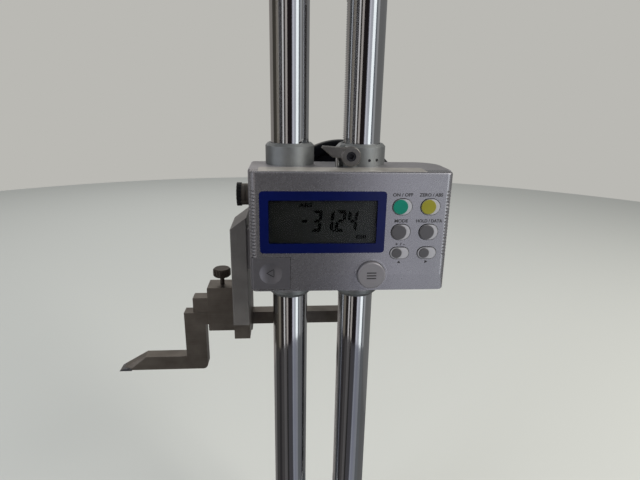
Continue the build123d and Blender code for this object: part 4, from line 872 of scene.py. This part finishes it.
@dataclass
class DisplayUnit:
    """Front shell with its window, keys, battery cover and printed legends.

    The centres and the arrows on the face are given by X and drop. The arrow in the battery
    cover's dish is the strip between two triangles, given about the dish's centre.
    """

    face: float = -32.8
    ink: float = 0.03
    button_tone: str = "545355"
    bar_length: float = 5.4
    bar_height: float = 0.7
    bar_pitch: float = 1.65
    cap_centre: Point = (24.4, 58.1)
    dish_centre: Point = (-32.1, 57.2)
    dish_depth: float = 0.82
    dish_ink: float = 0.1
    dish_outer: tuple[Point, ...] = ((-2.6, 0.0), (1.9, 2.7), (1.9, -2.7))
    dish_inner: tuple[Point, ...] = ((-1.9, 0.0), (1.55, 2.05), (1.55, -2.05))
    arrows: tuple[tuple[Point, ...], ...] = (
        ((39.0, 51.5), (41.0, 51.5), (40.0, 50.0)), ((54.8, 51.6), (56.6, 50.7), (54.8, 49.8)))
    finishes: dict[str, Finish] = field(default_factory=lambda: {
        "front_shell": LACQUERED_SHELL, "display_bezel": NAVY_ACRYLIC, "display_glass": COATED_GLASS,
        "lcd_panel": CRYSTAL_PANEL, "display_board": SOLDER_MASK, "key_mat": SILICONE,
        "battery_cover": LACQUERED_COVER, "cell_holder": BLACK_ABS, "button_cell": NICKEL_CAN,
        "socket_cap": GREY_ABS, "data_socket": BLACK_ABS, "key_on_off": LACQUERED_KEY,
        "key_zero_abs": LACQUERED_KEY, "key_on_off_button": GREEN_BUTTON,
        "key_zero_abs_button": YELLOW_BUTTON})
    grey_buttons: tuple[GreyButton, ...] = (
        GreyButton("key_mode", 38.9, 33.2, 4.1), GreyButton("key_hold_data", 54.5, 33.2, 4.1),
        GreyButton("key_plus_minus", 38.3, 45.4, 2.9), GreyButton("key_arrow", 53.9, 45.4, 2.9))
    legends: tuple[Legend, ...] = (
        Legend("print_on_off", "ON / OFF", 34.3, 45.5, 13.2, 11.3),
        Legend("print_zero_abs", "ZERO / ABS", 49.0, 62.1, 13.2, 11.3),
        Legend("print_mode", "MODE", 36.1, 43.6, 27.8, 25.9),
        Legend("print_hold_data", "HOLD / DATA", 48.2, 62.9, 27.8, 25.9),
        Legend("print_plus_minus", "+ / -", 37.2, 42.8, 41.1, 39.4))

    def keys(self, nodes: dict[str, bpy.types.Object], deck: float) -> None:
        """Dress the four keys whose round buttons are grey."""
        for button in self.grey_buttons:
            finish = replace(LACQUERED_KEY, name="lacquered_" + button.key, edge_tone="",
                             button_tone=self.button_tone, centre=(button.x, deck - button.drop),
                             radius=button.radius)
            dress(nodes, {button.key: finish})

    def inked(self, mesh: bpy.types.Mesh, body: str = "slider") -> None:
        """Add a mesh of print as a piece of its own name."""
        new_piece(mesh.name, mesh, BLACK_INK, body)

    def marks(self, deck: float) -> None:
        """Print the legends and arrows on the front face."""
        for legend in self.legends:
            self.inked(legend.mesh(deck, self.face, self.ink))
        outlines = [[(x, deck - drop) for x, drop in arrow] for arrow in self.arrows]
        self.inked(plates("print_arrows", outlines, self.face - self.ink, self.face))

    def bars(self, deck: float, front: float) -> None:
        """Print three bars on the round cap, whose front is at Y front."""
        x, drop = self.cap_centre
        outlines = [rectangle(x, deck - drop + row * self.bar_pitch, self.bar_length, self.bar_height)
                    for row in (-1, 0, 1)]
        self.inked(plates("cap_bars", outlines, front - self.ink, front))

    def dish_arrow(self, deck: float) -> None:
        """Draw the arrow's outline at the bottom of the battery cover's dish."""
        x, drop = self.dish_centre
        outer, inner = ([(x + aside, deck - drop + up) for aside, up in triangle]
                        for triangle in (self.dish_outer, self.dish_inner))
        strokes = []
        for index in range(len(outer)):
            after = (index + 1) % len(outer)
            strokes.append([outer[index], outer[after], inner[after], inner[index]])
        level = self.face + self.dish_depth
        mesh = plates("dish_arrow", strokes, level - self.dish_ink, level + self.dish_ink)
        self.inked(mesh, "battery_cover")

    def build(self, nodes: dict[str, bpy.types.Object], deck: float) -> None:
        """Dress the display unit and add its printing.

        Args:
            nodes: the frame's objects by name.
            deck: height of the deck.
        """
        dress(nodes, self.finishes)
        self.keys(nodes, deck)
        self.marks(deck)
        self.bars(deck, millimetres(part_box("socket_cap")[0].y))
        self.dish_arrow(deck)
        Readout().build(deck, millimetres(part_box("lcd_panel")[0].y))


# ------------------------------------------------------------------ studio
@dataclass(frozen=True)
class PlainStage(Finish):
    """Matt paint of one tone, for a floor that keeps shadows."""

    shade: str = ""
    roughness: float = 0.9
    specular: float = 0.1

    def shader(self, tree: bpy.types.NodeTree) -> bpy.types.Node:
        """Build a matt shader of one even tone."""
        return add_node(tree, "ShaderNodeBsdfPrincipled", {}, {
            "Base Color": linear(self.tone), "Roughness": self.roughness,
            "Specular IOR Level": self.specular})


@dataclass(frozen=True)
class LitCard(Finish):
    """Card of one tone that glows evenly, such as bright metal mirrors."""

    shade: str = ""
    strength: float = 1.6

    def shader(self, tree: bpy.types.NodeTree) -> bpy.types.Node:
        """Build an even glow of the card's tone."""
        return add_node(tree, "ShaderNodeEmission", {},
                        {"Color": linear(self.tone), "Strength": self.strength})


@dataclass(frozen=True)
class CardStrip:
    """One upright card and the floor in front of it, between two directions in degrees.

    Directions are counted from the camera's side, positive towards +X. Each half has a tone in
    sRGB hex, which a column mirrors as one of its streaks.
    """

    start: float
    end: float
    upright: str
    lying: str


@dataclass
class CardRing:
    """Ring of cards round the part, seen only in reflections. Lengths are in metres."""

    radius: float = 0.42
    inner: float = 0.1
    top: float = 0.95
    lift: float = 0.0005
    strips: tuple[CardStrip, ...] = (
        CardStrip(-180, -112, "76726E", "646260"), CardStrip(-112, -84, "3A3732", "3A3938"),
        CardStrip(-84, -66, "67625A", "2D2B2C"), CardStrip(-66, -46, "242120", "403E3E"),
        CardStrip(-46, -37, "B4B2B1", "545252"), CardStrip(-37, -28, "2F2C2A", "504E4E"),
        CardStrip(-28, -17, "9A9490", "2C2B2B"), CardStrip(-17, 8, "1B1718", "403F42"),
        CardStrip(8, 12, "505056", "4A4C54"), CardStrip(12, 20, "B8B8C0", "80828A"),
        CardStrip(20, 34, "A0A2A8", "747680"), CardStrip(34, 50, "F8FEFF", "787A80"),
        CardStrip(50, 59, "62666A", "5A5C5E"), CardStrip(59, 72, "8C8D8E", "5A5C5E"),
        CardStrip(72, 180, "646463", "585858"))

    def build(self) -> None:
        """Stand the cards round the origin and lay their floor strips."""
        built = bmesh.new()
        finishes: list[Finish] = []
        for index, strip in enumerate(self.strips):
            turns = [math.radians(angle) for angle in (strip.start, strip.end)]
            low, high, near = ([built.verts.new((reach * math.sin(turn), -reach * math.cos(turn), height))
                                for turn in turns]
                               for reach, height in ((self.radius, self.lift), (self.radius, self.top),
                                                     (self.inner, self.lift)))
            built.faces.new((low[0], low[1], high[1], high[0])).material_index = len(finishes)
            built.faces.new((near[0], near[1], low[1], low[0])).material_index = len(finishes) + 1
            finishes += [LitCard(f"upright_card_{index}", strip.upright),
                         LitCard(f"lying_card_{index}", strip.lying)]
        cards = add_object("mirror_cards", to_mesh("mirror_cards", built))
        for finish in finishes:
            cards.data.materials.append(finish.material())
        cards.visible_camera = False
        cards.visible_shadow = False
        cards.visible_diffuse = False


@dataclass(frozen=True)
class Lamp:
    """Rectangular soft lamp at X and Y, lift above the deck. Lengths are in metres."""

    name: str
    x: float
    y: float
    lift: float
    size: Point
    watts: float
    tint: str

    def hang(self, deck_m: float, aim: Vector) -> None:
        """Hang the lamp over a deck at the given height, facing the point aim."""
        light = bpy.data.lights.new(self.name, "AREA")
        light.shape = "RECTANGLE"
        light.size, light.size_y = self.size
        light.energy = self.watts
        light.color = linear(self.tint)[:3]
        hung = add_object(self.name, light)
        hung.location = (self.x, self.y, deck_m + self.lift)
        hung.rotation_euler = (aim - hung.location).to_track_quat("-Z", "Y").to_euler()


@dataclass
class Studio:
    """Floor, backdrop, lamps and camera. Lengths are in metres.

    The eye's height is counted from the deck, and the lamps face a point aim_drop below it.
    """

    eye: Triple = (-0.0239, -0.27878, 0.03827)
    yaw: float = 4.42
    pitch: float = 17.09
    roll: float = 0.994
    focal_pixels: float = 468.66
    image_width: float = 640.0
    sensor_width_mm: float = 36.0
    clip: Point = (0.01, 20.0)
    floor_middle: float = 0.3
    floor_radius: float = 2.0
    floor_tone: str = "C8CAC6"
    bend: float = 0.7
    bend_steps: int = 12
    wall_top: float = 3.2
    wall_tone: str = "BAB9B4"
    sides: int = 96
    sky_tone: str = "D9DBDC"
    sky_strength: float = 0.36
    aim_drop: float = 0.04
    lamps: tuple[Lamp, ...] = (
        Lamp("key_lamp", 1.3, -0.75, 0.95, (1.1, 0.9), 36.0, "FFFBF4"),
        Lamp("fill_lamp", -1.1, -0.6, 0.3, (0.7, 1.0), 8.0, "F2F6FF"),
        Lamp("back_lamp", -0.5, 1.6, 1.2, (1.4, 0.8), 14.0, "FFFFFF"))

    def sheet(self, name: str, profile: Sequence[Point], finish: Finish, closed: bool) -> bpy.types.Object:
        """Turn a profile round the upright axis into a sheet of the stage.

        Args:
            name: the sheet's name.
            profile: radius and height of each ring.
            finish: its finish.
            closed: whether its first ring is filled.

        Returns:
            The sheet.
        """
        built = bmesh.new()
        turns = [2 * math.pi * index / self.sides for index in range(self.sides)]
        rings = [[built.verts.new((radius * math.cos(turn), radius * math.sin(turn), z)) for turn in turns]
                 for radius, z in profile]
        for near, far in zip(rings, rings[1:]):
            join_rings(built, far, near)
        if closed:
            built.faces.new(rings[0])
        mesh = to_mesh(name, built)
        for face in mesh.polygons:
            face.use_smooth = True
        mesh.materials.append(finish.material())
        made = add_object(name, mesh)
        return made

    def floor(self) -> None:
        """Lay the round floor, and stand the backdrop that rises from its edge and casts no light."""
        painted = PlainStage("pale_backdrop", self.floor_tone)
        self.sheet("floor", [(self.floor_middle, 0.0), (self.floor_radius, 0.0)], painted, closed=True)
        profile: list[Point] = []
        for step in range(self.bend_steps + 1):
            angle = math.radians(90 * step / self.bend_steps)
            out, up = self.bend * math.sin(angle), self.bend * (1 - math.cos(angle))
            profile.append((self.floor_radius + out, up))
        profile.append((self.floor_radius + self.bend, self.wall_top))
        glow = LitCard("lit_backdrop", self.wall_tone, strength=1.0)
        backdrop = self.sheet("backdrop", profile, glow, closed=False)
        backdrop.visible_diffuse = False
        backdrop.visible_shadow = False
        backdrop.visible_glossy = False
        backdrop.visible_transmission = False

    def world(self) -> None:
        """Light the scene softly from all round."""
        made = bpy.data.worlds.new("studio_world")
        bpy.context.scene.world = made
        made.use_nodes = True
        tree = made.node_tree
        tree.nodes.clear()
        sky = add_node(tree, "ShaderNodeBackground", {},
                       {"Color": linear(self.sky_tone), "Strength": self.sky_strength})
        add_node(tree, "ShaderNodeOutputWorld", {}, {"Surface": sky.outputs[0]})

    def camera(self, deck_m: float) -> None:
        """Place the camera at its measured position and angle.

        Args:
            deck_m: height of the deck in metres.
        """
        yaw, pitch, roll = (math.radians(a) for a in (self.yaw, self.pitch, self.roll))
        ahead = Vector((math.sin(yaw) * math.cos(pitch), math.cos(yaw) * math.cos(pitch), -math.sin(pitch)))
        right = Vector((math.cos(yaw), -math.sin(yaw), 0.0))
        up = right.cross(ahead)
        turned_right = math.cos(roll) * right + math.sin(roll) * up
        turned_up = -math.sin(roll) * right + math.cos(roll) * up
        data = bpy.data.cameras.new("camera")
        data.sensor_width = self.sensor_width_mm
        data.lens = self.focal_pixels / self.image_width * self.sensor_width_mm
        data.clip_start, data.clip_end = self.clip
        camera = add_object("camera", data)
        turn = Matrix((turned_right, turned_up, -ahead)).transposed()
        camera.matrix_world = Matrix.Translation(Vector(self.eye) + Vector((0, 0, deck_m))) @ turn.to_4x4()
        bpy.context.scene.camera = camera

    def build(self, deck_m: float) -> None:
        """Set up the whole studio.

        Args:
            deck_m: height of the deck in metres.
        """
        self.floor()
        self.world()
        aim = Vector((0.0, 0.0, deck_m - self.aim_drop))
        for lamp in self.lamps:
            lamp.hang(deck_m, aim)
        CardRing().build()
        self.camera(deck_m)
        bpy.context.scene.view_settings.view_transform = "Standard"


def main() -> None:
    """Load the frame, dress every sub-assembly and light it."""
    logging.basicConfig(level=logging.INFO, format="%(name)s: %(message)s")
    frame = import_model()
    nodes = frame["nodes"]
    deck_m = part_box("left_collar")[0].z
    deck = millimetres(deck_m)
    Stand().build(nodes)
    SliderBody().build(nodes, deck)
    DriveTrain().build(nodes)
    ScriberGroup().build(nodes)
    DisplayUnit().build(nodes, deck)
    Studio().build(deck_m)


if __name__ == "__main__":
    main()
